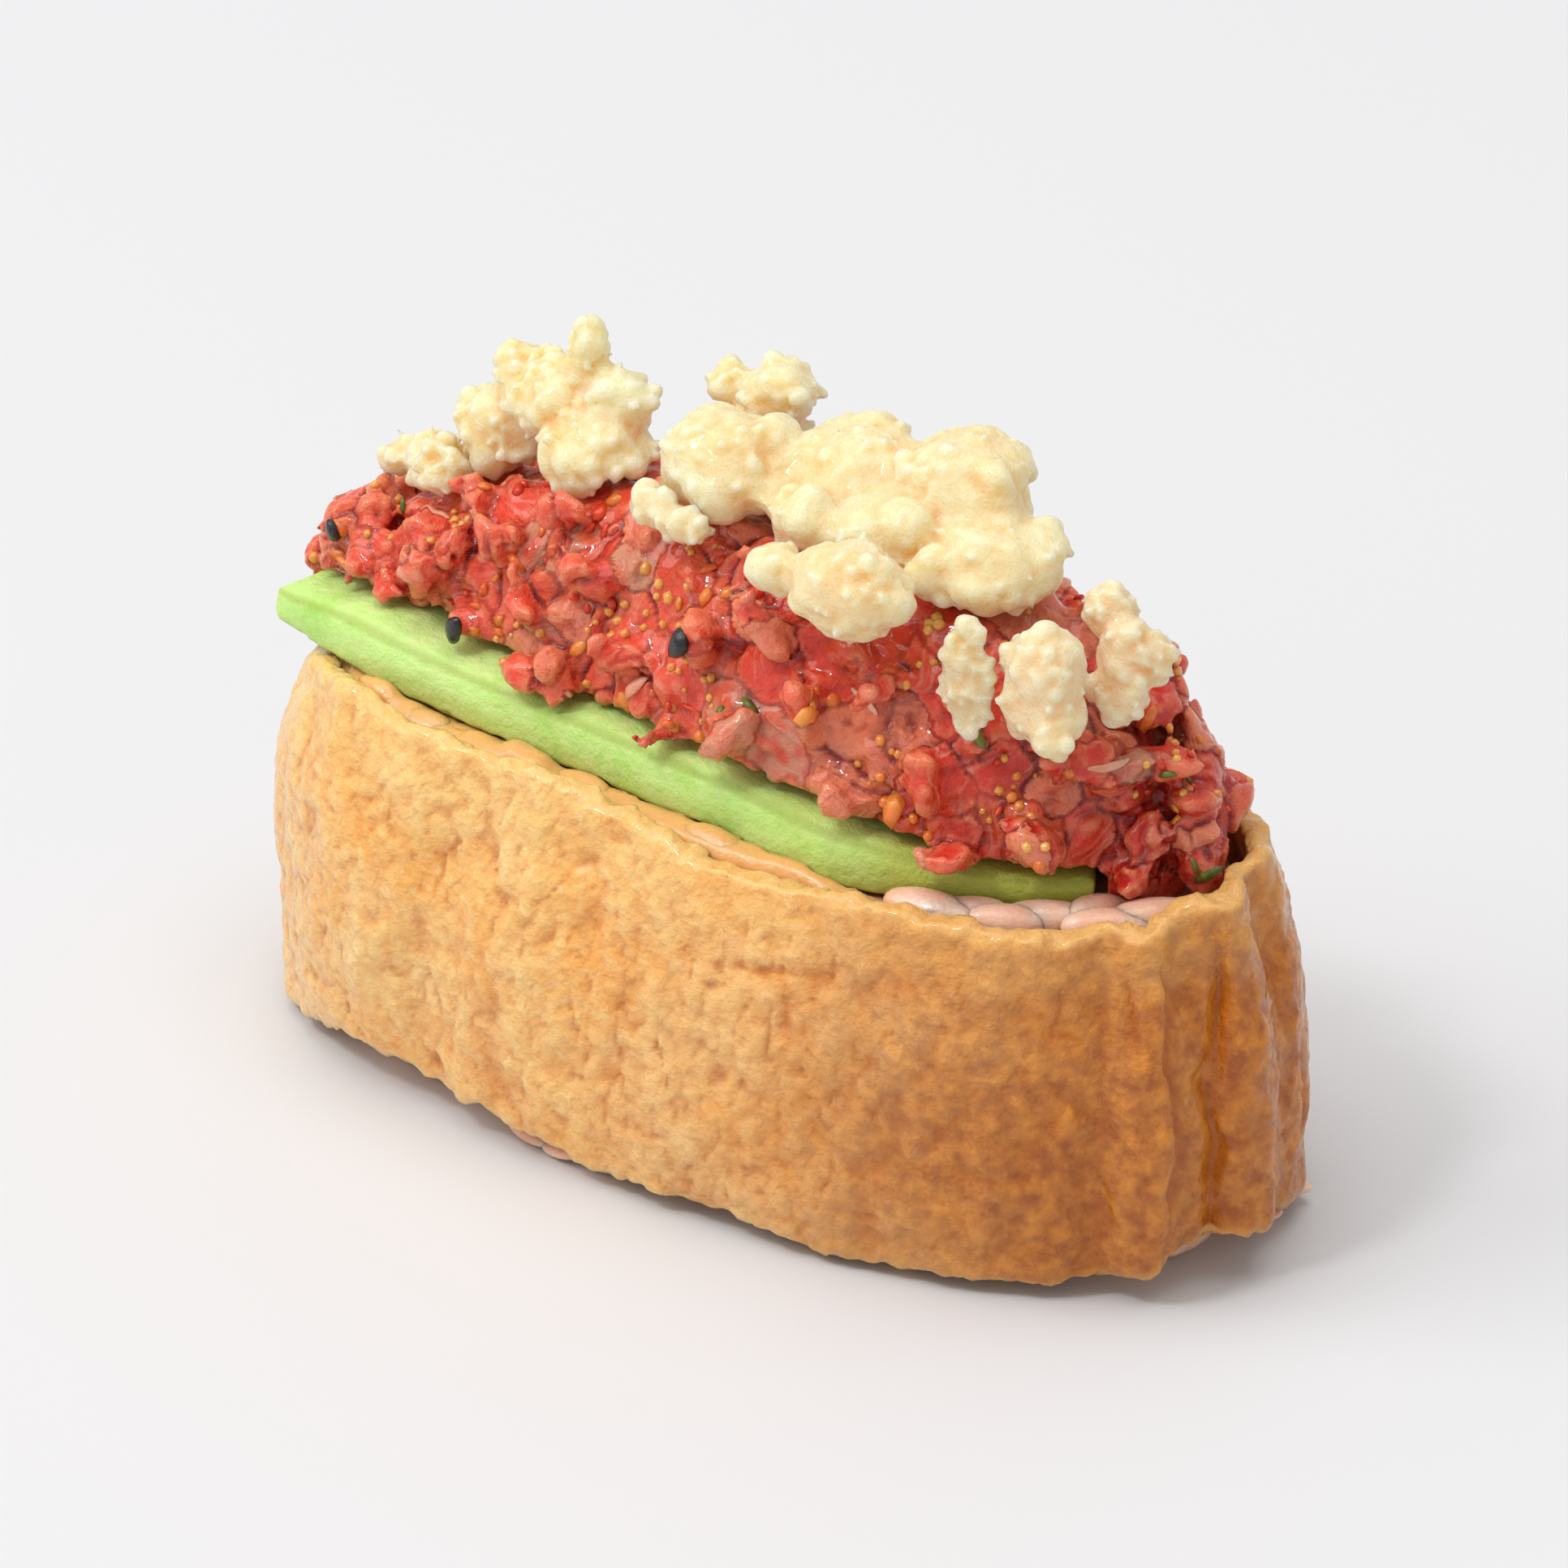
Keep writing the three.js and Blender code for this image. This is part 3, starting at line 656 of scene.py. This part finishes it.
def open_spots(count, seed, clumps=0, spread=1.2):
    """Places on the heap that nothing covers, in clumps if asked."""
    draw = np.random.default_rng(seed)
    places, ways = spots_on(heap, 8 * count, draw)
    if clumps:
        hearts = places[draw.choice(len(places), clumps)]
        near = np.min(np.linalg.norm(places[:, None] - hearts[None], axis=2), axis=1)
        order = np.argsort(near + draw.exponential(spread, len(near)))
        places, ways = places[order], ways[order]
    spots = []
    for place, way in zip(places, ways):
        if place[2] < LOWEST or way[2] < -0.2:
            continue
        if covered.find_nearest(Vector(place), ROOM)[0] is not None:
            continue
        if all(np.linalg.norm(place - other) > APART for other, _ in spots):
            spots.append((place, way))
        if len(spots) == count:
            break
    return spots


def nearest_spot(place):
    near, way, _, _ = heap_tree.find_nearest(Vector(place))
    return np.array(near), np.array(way)


def sprinkled(name, spots, shape, faces, sizes, sink, spread, seed, tilt=0.3):
    """Copies of one small shape at spots on the heap, each with its own size and turn."""
    draw = np.random.default_rng(seed)
    copies = []
    for place, way in spots:
        size = draw.uniform(*sizes)
        stretch = 1 + spread * draw.uniform(-1, 1, 3)
        spin = leaning(way, tilt, draw)
        body = turned(shape * stretch * size, spin) + place + way * size * sink
        copies.append((body, faces))
    piece = gathered(name, copies)
    take(piece)
    bpy.ops.object.shade_smooth()
    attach(piece, "root")
    print(len(copies), name)
    return piece


# %% Roe, chilli and herb
crumb = DOT * (1 + 0.35 * soft_noise(DOT * 1.3, 0.9, 92))[:, None]
smear, flake, leaf = crumb * (1.2, 0.9, 0.5), crumb * (1.0, 0.7, 0.3), crumb * (1.3, 0.5, 0.2)
roe_spots = open_spots(260, 41, clumps=60, spread=0.7)
roe = sprinkled("roe", roe_spots, DOT, DOT_FACES, (0.22, 0.5), -0.1, 0.15, 51)
paste_spots = open_spots(150, 44, clumps=60, spread=0.8)
paste = sprinkled("chilli_paste", paste_spots, smear, DOT_FACES, (0.35, 0.9), -0.1, 0.3, 55)
chilli_spots = open_spots(90, 42, clumps=40)
chilli = sprinkled("chilli", chilli_spots, flake, DOT_FACES, (0.3, 0.8), 0.0, 0.4, 52, 0.5)
herb_places = [
    (34.4, -3.9, 28.4), (36.2, -3.2, 27.0), (4.5, -9.6, 34.8), (2.8, -9.9, 33.2),
    (-26.0, -5.0, 35.5)]
herb_spots = [nearest_spot(place) for place in herb_places] + open_spots(9, 43)
herb = sprinkled("herb", herb_spots, leaf, DOT_FACES, (0.5, 0.95), 0.15, 0.3, 53)

# %% [markdown]
# A sesame seed is a flat drop, pointed at one end. Three black ones show on the near side.

# %% Black sesame
seed_shape = BALL * (1.0, 0.62, 0.4)
seed_shape[:, 1] *= 1 - 0.35 * seed_shape[:, 0]
uneven = 1 + 0.16 * soft_noise(seed_shape, 0.35, 93) + 0.12 * soft_noise(seed_shape, 0.8, 94)
seed_shape *= uneven[:, None]
seed_places = [(-34.9, -4.0, 33.3), (-20.9, -7.6, 31.9), (-0.8, -10.4, 37.9)]
seed_spots = [nearest_spot(place) for place in seed_places]
sesame = sprinkled("black_sesame", seed_spots, seed_shape, BALL_FACES, (1.15, 1.35), -0.1, 0.1, 54)

# %% [markdown]
# Pale strands of sinew lie over some pieces. Each is a thin tube laid along the heap's skin.

# %% Strands of sinew
RINGS, SIDES = 9, 6


def strand(place, heading, length, radius):
    """A thin tube that follows the heap's skin from a place, and thins towards its ends."""
    middles = []
    for _ in range(RINGS):
        near, up_way, _, _ = heap_tree.find_nearest(Vector(place))
        up_way = np.array(up_way)
        heading = heading - up_way * (heading @ up_way) + draw.normal(0, 0.15, 3)
        heading /= np.linalg.norm(heading)
        middles.append((np.array(near) + up_way * radius * 0.4, up_way, np.cross(up_way, heading)))
        place = np.array(near) + heading * length / (RINGS - 1)
    points, faces = [], []
    for step, (middle, up_way, side) in enumerate(middles):
        thick = radius * (0.25 + 0.75 * math.sin(math.pi * (step + 0.5) / RINGS))
        for turn in range(SIDES):
            angle = 2 * math.pi * turn / SIDES
            reach = math.cos(angle) * side * 1.5 + math.sin(angle) * up_way * 0.8
            points.append(middle + thick * reach)
    for step, turn in itertools.product(range(RINGS - 1), range(SIDES)):
        a, b = step * SIDES + turn, step * SIDES + (turn + 1) % SIDES
        faces += [(a, b, b + SIDES), (a, b + SIDES, a + SIDES)]
    for ring in (0, (RINGS - 1) * SIDES):
        faces += [(ring, ring + 1 + k, ring + 2 + k) for k in range(SIDES - 2)]
    return np.array(points), np.array(faces)


draw = np.random.default_rng(61)
strands = []
for place, _ in open_spots(16, 62):
    heading, length, radius = draw.normal(0, 1, 3), draw.uniform(2.0, 4.5), draw.uniform(0.2, 0.4)
    strands.append(strand(place, heading, length, radius))
print(len(strands), "strands")
sinews = gathered("sinew_strands", strands)
modify(sinews, "SUBSURF", levels=1, render_levels=1)
bpy.ops.object.shade_smooth()
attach(sinews, "root")

# %% [markdown]
# ## The rice
#
# The rice hardly shows: a few translucent grains in the gap between the slice and the band's rim,
# and a few under the band's lower edge. The block is its solid, softened and swelled up towards the
# slice. The grains are one shape, copied and laid where they touch neither band nor topping.

# %% The block of rice
RICE_RISE, RICE_LOWEST = 1.9, 0.02
rice = copy_of("rice", "rice_block")
remesh(rice, RICE_FACE, rounds=9)
at, facing = points_of(rice), normals_of(rice)
above = tree_of(avocado, heap)
lift = RICE_RISE * ramp(facing[:, 2], 0.2, 0.7) * ramp(at[:, 2], 20, 23) * ramp(18 - at[:, 0], 0, 8)
for k in np.nonzero(lift > 0.05)[0]:
    hit, _, _, room = above.ray_cast(Vector(at[k]), Vector((0, 0, 1)), 3.0)
    if hit is not None:
        lift[k] = max(0.0, min(lift[k], room - 0.25))
print("the rice rises by up to", round(float(lift.max()), 2), "mm")
at[:, 2] += lift
at += facing * (0.12 * soft_noise(at, 1.8, 95))[:, None]
at[:, :2] *= 1 - 0.07 * ramp(5 - at[:, 2], 0, 3)[:, None]
at[:, 2] = np.maximum(at[:, 2], RICE_LOWEST)
move_points(rice, at)
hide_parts("rice")

# %% Grains
grain = LUMP * (1.0, 0.46, 0.42)
grain[:, 2] += 0.10 * grain[:, 0] ** 2
walls, toppings = tree_of(tofu), tree_of(avocado, heap)
draw = np.random.default_rng(12)
laid = []


def lay(x, y, heights, size, flat, heading, gap=0.1):
    """Lays a grain at the first height where it touches neither band nor topping, if there is one."""
    spin = Euler((0.5 * draw.normal(), draw.normal(0, 0.15), heading)).to_quaternion()
    for z in heights:
        body = turned(grain * size * (1, 1, flat), spin) + np.array([x, y, z])
        middle, some = body.mean(axis=0), body[::9]
        if any(np.linalg.norm(middle - other.mean(axis=0)) < 2.0 * size / 3 for other, _ in laid):
            return
        above_table = body[:, 2].min() > RICE_LOWEST
        if above_table and clear_of(some, walls, gap) and clear_of(some, toppings, 0.1):
            laid.append((body, LUMP_FACES))
            return


# %% Grains at the rim
RING_TRIES = 700
# half the length and half the width of the ring that the grains are tried in
RING_LENGTH, RING_WIDTH = 35.2, 13.9


def squarer(value):
    """Makes a sine or cosine fuller, so that the ring has the band's squarer corners."""
    return math.copysign(abs(value) ** 0.8, value)


for _ in range(RING_TRIES):
    turn, reach = draw.uniform(0, 2 * math.pi), draw.uniform(0.74, 0.93)
    x = middle_x + squarer(math.cos(turn)) * RING_LENGTH * reach
    y = squarer(math.sin(turn)) * RING_WIDTH * reach
    heading = math.atan2(15 * math.cos(turn), -35 * math.sin(turn)) + draw.normal(0, 0.5)
    lay(x, y, (24.9, 24.5), draw.uniform(2.7, 3.3), 1.0, heading)
for x, y in [(28.5, -6.5), (30.0, -6.5), (31.5, -5.0)]:
    lay(x, y, (25.8, 25.4, 25.0), draw.uniform(2.1, 2.5), 0.8, draw.uniform(0.3, 1.2))
print(len(laid), "grains lie at the rim")

# %% Grains under the band's lower edge
UNDER_EDGE = [
    (-9.6, -14.2), (-6.4, -14.8), (-3.6, -15.2), (35.4, 3.0),
    (35.6, 6.2), (-30.0, 10.5), (-5.0, 15.0), (9.0, 15.0)]
for (x, y), shift in itertools.product(UNDER_EDGE, (0.0, 0.6)):
    size, heading = draw.uniform(2.2, 2.9), draw.uniform(-0.5, 0.5)
    lay(x, y + math.copysign(shift, y), (0.75,), size, 0.55, heading, gap=0.03)
print(len(laid), "grains lie in the open")
grains_open = gathered("rice_grains", laid)
take(grains_open)
bpy.ops.object.shade_smooth()
for piece in (rice, grains_open):
    at = points_of(piece)
    # tan higher up and to the left: broth soaked up, and painted shade in the gap under the slice
    leave_numbers(piece, soaked=ramp(at[:, 2], 16, 23) * ramp(19 - at[:, 0], 0, 7))
    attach(piece, "root")

# %% [markdown]
# ## Materials
#
# Nearly all of this food lets light into it, so its finishes use subsurface scattering, with a depth
# that suits each: a millimetre or so in tofu, avocado, tuna and rice, and more in batter foam.
# Colours vary with noise in object space and with the numbers left on the points.

# %% Helpers for shader nodes
def add(tree, kind, inputs=None, **settings):
    """A node with its settings made and its sockets set or linked."""
    made = tree.nodes.new(kind)
    for key, value in settings.items():
        setattr(made, key, value)
    for key, value in (inputs or {}).items():
        if isinstance(value, bpy.types.NodeSocket):
            tree.links.new(value, made.inputs[key])
        else:
            made.inputs[key].default_value = value
    return made


def linear(red, green, blue):
    """A colour as the eye reads it, 0 to 255, turned into light."""
    light = [
        ((c / 255 + 0.055) / 1.055) ** 2.4 if c > 10 else c / 255 / 12.92
        for c in (red, green, blue)]
    return light + [1.0]


def blended(tree, amount, first, second):
    """Mixes two colours by an amount that varies over the surface."""
    mix = add(tree, "ShaderNodeMix", data_type="RGBA")
    for socket, value in ((mix.inputs[0], amount), (mix.inputs[6], first), (mix.inputs[7], second)):
        if isinstance(value, bpy.types.NodeSocket):
            tree.links.new(value, socket)
        else:
            socket.default_value = value
    return mix.outputs[2]


def number(tree, name):
    return add(tree, "ShaderNodeAttribute", attribute_name=name).outputs["Fac"]


def stretched(tree, value, low, high, to_low=0.0, to_high=1.0):
    """Maps a value's span from low to high onto another span, and holds it there."""
    settings = {"Value": value, "From Min": low, "From Max": high, "To Min": to_low, "To Max": to_high}
    return add(tree, "ShaderNodeMapRange", settings).outputs["Result"]


def noisy(tree, place, per_mm, detail=3.0, low=0.35, high=0.65, rough=0.55):
    """Noise in object space as a value from 0 to 1, with a contrast of its own."""
    settings = {"Vector": place, "Scale": per_mm * 1000, "Detail": detail, "Roughness": rough}
    return stretched(tree, add(tree, "ShaderNodeTexNoise", settings).outputs["Fac"], low, high)


def spots(tree, place, per_mm, feature="F1"):
    """The distance to the nearest of scattered spots."""
    settings = {"Vector": place, "Scale": per_mm * 1000}
    return add(tree, "ShaderNodeTexVoronoi", settings, feature=feature).outputs["Distance"]


def combined(tree, how, first, second):
    return add(tree, "ShaderNodeMath", {0: first, 1: second}, operation=how).outputs[0]


def sums(tree, *terms):
    """Adds values, each given with its weight."""
    total = None
    for value, weight in terms:
        scaled = combined(tree, "MULTIPLY", value, weight)
        total = scaled if total is None else combined(tree, "ADD", total, scaled)
    return total


def food(name):
    """An empty food material: its tree, its shader, and where on the object a point is."""
    material = bpy.data.materials.new(name)
    material.use_nodes = True
    tree = material.node_tree
    shader = next(n for n in tree.nodes if n.type == "BSDF_PRINCIPLED")
    place = add(tree, "ShaderNodeTexCoord").outputs["Object"]
    return material, tree, shader, place


def dress(tree, shader, colour, roughness, height, depth_mm, settings):
    """Links the colour, roughness and fine relief, and sets what is the same all over."""
    tree.links.new(colour, shader.inputs["Base Color"])
    tree.links.new(roughness, shader.inputs["Roughness"])
    bump = add(tree, "ShaderNodeBump", {"Height": height, "Distance": depth_mm * MM, "Strength": 1.0})
    tree.links.new(bump.outputs["Normal"], shader.inputs["Normal"])
    for key, value in settings.items():
        shader.inputs[key].default_value = value


def lets_in(weight, radius, depth_mm, coat=0.0):
    """Settings for a finish that light goes into, by red, green and blue, under a wet coat."""
    return {
        "Subsurface Weight": weight, "Subsurface Radius": radius,
        "Subsurface Scale": depth_mm * MM, "Coat Weight": coat}


# %% [markdown]
# Fried tofu is orange-tan. Its hollows and creases are painted a darker amber as painted shade, and
# its pebbles paler as a painted highlight. Towards the pleated end it is browner, partly as its own
# colour and partly as painted shade.

# %% Fried tofu
material, tree, shader, place = food("fried_tofu_skin")
broad = noisy(tree, place, 0.14, 4.0, 0.34, 0.66)
skin = blended(tree, broad, linear(252, 184, 98), linear(255, 208, 138))
mottle = noisy(tree, place, 0.55, 3.0, 0.4, 0.62)
skin = blended(tree, sums(tree, (mottle, 0.35)), skin, linear(232, 148, 54))
flecks = noisy(tree, place, 1.3, 3.0, 0.5, 0.68)
skin = blended(tree, sums(tree, (flecks, 0.35)), skin, linear(255, 222, 164))
ridge = number(tree, "ridge")
# painted highlight: paler on the pebbles
skin = blended(tree, stretched(tree, ridge, 0.05, 0.9, 0.0, 0.4), skin, linear(255, 216, 150))
pale_brown = noisy(tree, place, 0.75, 4.0, 0.34, 0.7)
# browner colour for the pleated end, which also stands for painted shade there
brown = blended(tree, pale_brown, linear(164, 78, 1), linear(220, 138, 38))
skin = blended(tree, sums(tree, (number(tree, "brown"), 0.94)), skin, brown)
# painted shade: darker amber where the skin dips in
skin = blended(tree, stretched(tree, ridge, -0.05, -0.9, 0.0, 0.6), skin, linear(190, 92, 6))
# painted shade: darker amber in hollows and creases
skin = blended(tree, sums(tree, (number(tree, "hollow"), 0.4)), skin, linear(204, 108, 10))
skin = blended(tree, sums(tree, (number(tree, "cut"), 0.6)), skin, linear(250, 204, 126))
pebbles = spots(tree, place, 0.9, "SMOOTH_F1")
fine = noisy(tree, place, 1.6, 5.0, 0.25, 0.75, 0.6)
height = sums(tree, (pebbles, -1.0), (mottle, -0.4), (pale_brown, 0.5), (fine, 0.8))
wet = stretched(tree, noisy(tree, place, 0.9, 3.0), 0.0, 1.0, 0.16, 0.36)
dress(tree, shader, skin, wet, height, 0.25, lets_in(0.5, (1.0, 0.5, 0.2), 1.4, 0.55) | {
    "Coat Roughness": 0.08, "Specular IOR Level": 0.15})
tofu.data.materials.append(material)

# %% [markdown]
# Avocado flesh is matt and pale with greener patches. Its right end is riper and yellower, and
# olive lines show where air has reached the cut edges.

# %% Avocado flesh
material, tree, shader, place = food("avocado_flesh")
broad = noisy(tree, place, 0.22, 4.0, 0.3, 0.7)
flesh = blended(tree, broad, linear(184, 226, 114), linear(208, 240, 150))
flesh = blended(tree, noisy(tree, place, 1.2, 3.0, 0.45, 0.8), flesh, linear(214, 234, 154))
greener = noisy(tree, place, 0.12, 2.0, 0.55, 0.7)
flesh = blended(tree, sums(tree, (greener, 0.35)), flesh, linear(140, 202, 70))
flesh = blended(tree, number(tree, "ripe"), flesh, linear(186, 196, 82))
flesh = blended(tree, sums(tree, (number(tree, "edge"), 0.55)), flesh, linear(148, 160, 58))
coarse, fine = noisy(tree, place, 1.6, 4.0, 0.2, 0.8), noisy(tree, place, 5.0, 2.0, 0.2, 0.8)
height = sums(tree, (coarse, 1.0), (fine, 0.4))
matt = stretched(tree, noisy(tree, place, 0.8), 0.0, 1.0, 0.42, 0.6)
dress(tree, shader, flesh, matt, height, 0.12, lets_in(0.4, (0.7, 0.9, 0.3), 1.5) | {
    "Specular IOR Level": 0.35})
avocado.data.materials.append(material)

# %% [markdown]
# Raw tuna is wet and translucent: deep red in the thick of a piece, peach along its thin edges,
# with pale sinews along its own grain and orange oil from the chilli. Its ridges are painted a lighter
# peach as a painted highlight, and its hollows and the seams between pieces near-black red as
# painted shade.

# %% Raw tuna
material, tree, shader, place = food("raw_tuna")
meat = blended(tree, number(tree, "deep"), linear(246, 84, 58), linear(206, 18, 12))
pale_piece = stretched(tree, number(tree, "chance"), 0.8, 0.86)
meat = blended(tree, sums(tree, (pale_piece, 0.7)), meat, linear(244, 146, 108))
meat = blended(tree, sums(tree, (number(tree, "sauce"), 0.5)), meat, linear(222, 88, 30))
meat = blended(tree, sums(tree, (number(tree, "thin_edge"), 0.35)), meat, linear(252, 156, 110))
ridge = number(tree, "ridge")
# painted highlight: lighter peach on ridges
meat = blended(tree, stretched(tree, ridge, 0.2, 1.0, 0.0, 0.55), meat, linear(252, 158, 108))
# painted shade: near-black red in hollows
meat = blended(tree, stretched(tree, ridge, -0.1, -0.8, 0.0, 0.85), meat, linear(160, 8, 4))
# painted shade: near-black red along the seams between pieces
meat = blended(tree, sums(tree, (number(tree, "seam"), 0.45)), meat, linear(160, 8, 4))
line_place = add(tree, "ShaderNodeCombineXYZ", {
    "X": sums(tree, (number(tree, "along"), 0.16)),
    "Y": sums(tree, (number(tree, "across"), 1.5)),
    "Z": sums(tree, (number(tree, "chance"), 40.0))}).outputs[0]
line_settings = {"Vector": line_place, "Scale": 1.0, "Detail": 3.0, "Roughness": 0.6}
lines = add(tree, "ShaderNodeTexNoise", line_settings).outputs["Fac"]
meat = blended(tree, stretched(tree, lines, 0.55, 0.7, 0.0, 0.5), meat, linear(246, 176, 150))
meat = blended(tree, sums(tree, (number(tree, "gristle"), 0.7)), meat, linear(214, 158, 126))
height = sums(tree, (lines, 1.0), (noisy(tree, place, 1.1, 5.0, 0.2, 0.8, 0.65), 1.4))
wet = stretched(tree, noisy(tree, place, 0.9), 0.0, 1.0, 0.12, 0.3)
dress(tree, shader, meat, wet, height, 0.36, lets_in(0.45, (1.0, 0.25, 0.16), 1.2, 0.65) | {
    "Coat Roughness": 0.06, "Specular IOR Level": 0.2})
heap.data.materials.append(material)

# %% [markdown]
# Batter foam is cream-yellow and lets light deep into it. Its creases are painted a deeper gold as
# painted shade, and its ridges paler as a painted highlight. The puffs at the right are the most beige.

# %% Batter foam
material, tree, shader, place = food("batter_foam")
broad = noisy(tree, place, 0.2, 4.0, 0.3, 0.7)
foam = blended(tree, broad, linear(255, 216, 148), linear(255, 239, 198))
foam = blended(tree, number(tree, "tone"), foam, linear(240, 212, 170))
ridge = number(tree, "ridge")
# painted highlight: paler on ridges
foam = blended(tree, stretched(tree, ridge, 0.1, 0.9, 0.0, 0.5), foam, linear(255, 240, 208))
# painted shade: deeper gold in creases
foam = blended(tree, stretched(tree, ridge, -0.05, -0.8, 0.0, 0.55), foam, linear(250, 196, 110))
tiny = stretched(tree, spots(tree, place, 3.2), 0.5, 0.1)
rough_skin = noisy(tree, place, 2.0, 5.0, 0.2, 0.8, 0.7)
height = sums(tree, (tiny, 0.5), (spots(tree, place, 1.5), -0.5), (rough_skin, 1.3))
crisp = stretched(tree, noisy(tree, place, 1.5), 0.0, 1.0, 0.2, 0.45)
dress(tree, shader, foam, crisp, height, 0.13, lets_in(0.85, (1.0, 0.75, 0.45), 3.0, 0.4) | {
    "Coat Roughness": 0.1, "Specular IOR Level": 0.4})
for puff in puffs:
    puff.data.materials.append(material)

# %% [markdown]
# Along most of the rim the rice is tan, partly from broth it has soaked up and partly as painted
# shade for the gap under the slice. At the right end and low down it is a translucent pinkish white.

# %% Cooked rice
material, tree, shader, place = food("cooked_rice")
grain_colour = blended(tree, noisy(tree, place, 0.3), linear(234, 178, 148), linear(244, 204, 180))
# tan: partly broth, partly painted shade in the gap under the slice
grain_colour = blended(tree, number(tree, "soaked"), grain_colour, linear(232, 176, 108))
height = noisy(tree, place, 2.0, 2.0, 0.2, 0.8)
moist = stretched(tree, height, 0.0, 1.0, 0.2, 0.4)
dress(tree, shader, grain_colour, moist, height, 0.06, lets_in(0.6, (1.0, 0.8, 0.7), 0.9, 0.3) | {
    "Coat Roughness": 0.1})
for piece in (rice, grains_open):
    piece.data.materials.append(material)

# %% [markdown]
# The small things take plainer finishes: glassy roe and sinew, and duller chilli, herb and seeds.

# %% The small things
def plain_food(name, first, second, per_mm, roughness, settings):
    material, tree, shader, place = food(name)
    colour = blended(tree, noisy(tree, place, per_mm, 3.0, 0.35, 0.65), linear(*first), linear(*second))
    rough = stretched(tree, noisy(tree, place, 1.0), 0.0, 1.0, *roughness)
    dress(tree, shader, colour, rough, noisy(tree, place, 2.5, 2.0, 0.2, 0.8), 0.05, settings)
    return material


PLAIN = [
    # piece, material, its two colours, how fine they mix, how rough, and how light goes in
    (roe, "orange_roe", (230, 118, 34), (246, 172, 84), 0.25, (0.1, 0.3),
     lets_in(0.6, (1.0, 0.5, 0.15), 1.0, 0.5)),
    (paste, "orange_chilli_paste", (226, 92, 30), (240, 150, 60), 0.3, (0.25, 0.45),
     lets_in(0.5, (1.0, 0.4, 0.12), 1.0, 0.3)),
    (chilli, "red_chilli", (200, 36, 16), (228, 76, 26), 0.4, (0.25, 0.45),
     lets_in(0.3, (1.0, 0.3, 0.1), 0.6, 0.3)),
    (herb, "green_herb", (66, 84, 26), (110, 124, 44), 0.6, (0.3, 0.5), {"Coat Weight": 0.3}),
    (sesame, "black_sesame_skin", (20, 20, 22), (42, 42, 46), 1.5, (0.25, 0.45), {"Coat Weight": 0.2}),
    (sinews, "pale_sinew", (232, 132, 100), (244, 166, 136), 0.4, (0.2, 0.35),
     lets_in(0.7, (1.0, 0.5, 0.4), 1.2, 0.5)),
]
for piece, *recipe in PLAIN:
    piece.data.materials.append(plain_food(*recipe))
print(len(bpy.data.materials), "materials")

# %% [markdown]
# ## Floor, light and camera
#
# A pale sweep lies under the food. A large soft light from the upper left, a larger one overhead and
# a pale room give soft shading and a faint shadow to the right. A small light adds glints to the wet
# skins. The camera looks down on the long side from the pleated end.

# %% The floor
bpy.ops.object.select_all(action="DESELECT")
bpy.ops.mesh.primitive_plane_add(size=8.0, location=(0, 0, 0))
floor = bpy.context.active_object
floor.name = "pale_floor"
material, tree, shader, place = food("pale_paper")
shader.inputs["Base Color"].default_value = (0.665, 0.665, 0.675, 1.0)
shader.inputs["Roughness"].default_value = 0.6
floor.data.materials.append(material)

# %% Camera at the photograph's angle
AIM = Vector((-0.777, 2.106, 22.2)) * MM
DISTANCE, FIELD = 470 * MM, 104.4 * MM
SENSOR = 36.0
right = Vector((math.cos(AZIMUTH), math.sin(AZIMUTH), 0))
camera_data = bpy.data.cameras.new("camera")
camera_data.sensor_width = SENSOR
camera_data.lens = SENSOR * DISTANCE / FIELD
camera_data.clip_start = 0.01
camera = placed("camera", camera_data)
camera.location = AIM + back * DISTANCE
camera.rotation_euler = back.to_track_quat("Z", "Y").to_euler()
bpy.context.scene.camera = camera

# %% Lights
def soft_light(name, where, size, power):
    """A round soft light, pointed at the food."""
    data = bpy.data.lights.new(name, "AREA")
    data.shape = "DISK"
    data.size = size
    data.energy = power
    light = placed(name, data)
    light.location = AIM + where
    light.rotation_euler = where.to_track_quat("Z", "Y").to_euler()


away = Vector((-math.sin(AZIMUTH), math.cos(AZIMUTH), 0))
up = Vector((0, 0, 1))
LIGHTS = [
    # name, where it is in metres, how wide it is, how strong it is
    ("key", 2.0 * (-0.85 * right + 0.8 * up), 1.5, 18.5),
    ("glint", 2.0 * (-0.5 * right + 0.9 * up - 0.3 * away), 0.35, 10.5),
    ("overhead", 2.5 * up, 2.4, 29.5),
]
for recipe in LIGHTS:
    soft_light(*recipe)
ROOM_LIGHT = 0.56
world = bpy.data.worlds.new("pale_room")
world.use_nodes = True
room = world.node_tree.nodes["Background"]
room.inputs["Color"].default_value = (1.0, 1.0, 1.0, 1.0)
room.inputs["Strength"].default_value = ROOM_LIGHT
bpy.context.scene.world = world
bpy.context.scene.view_settings.view_transform = "Standard"
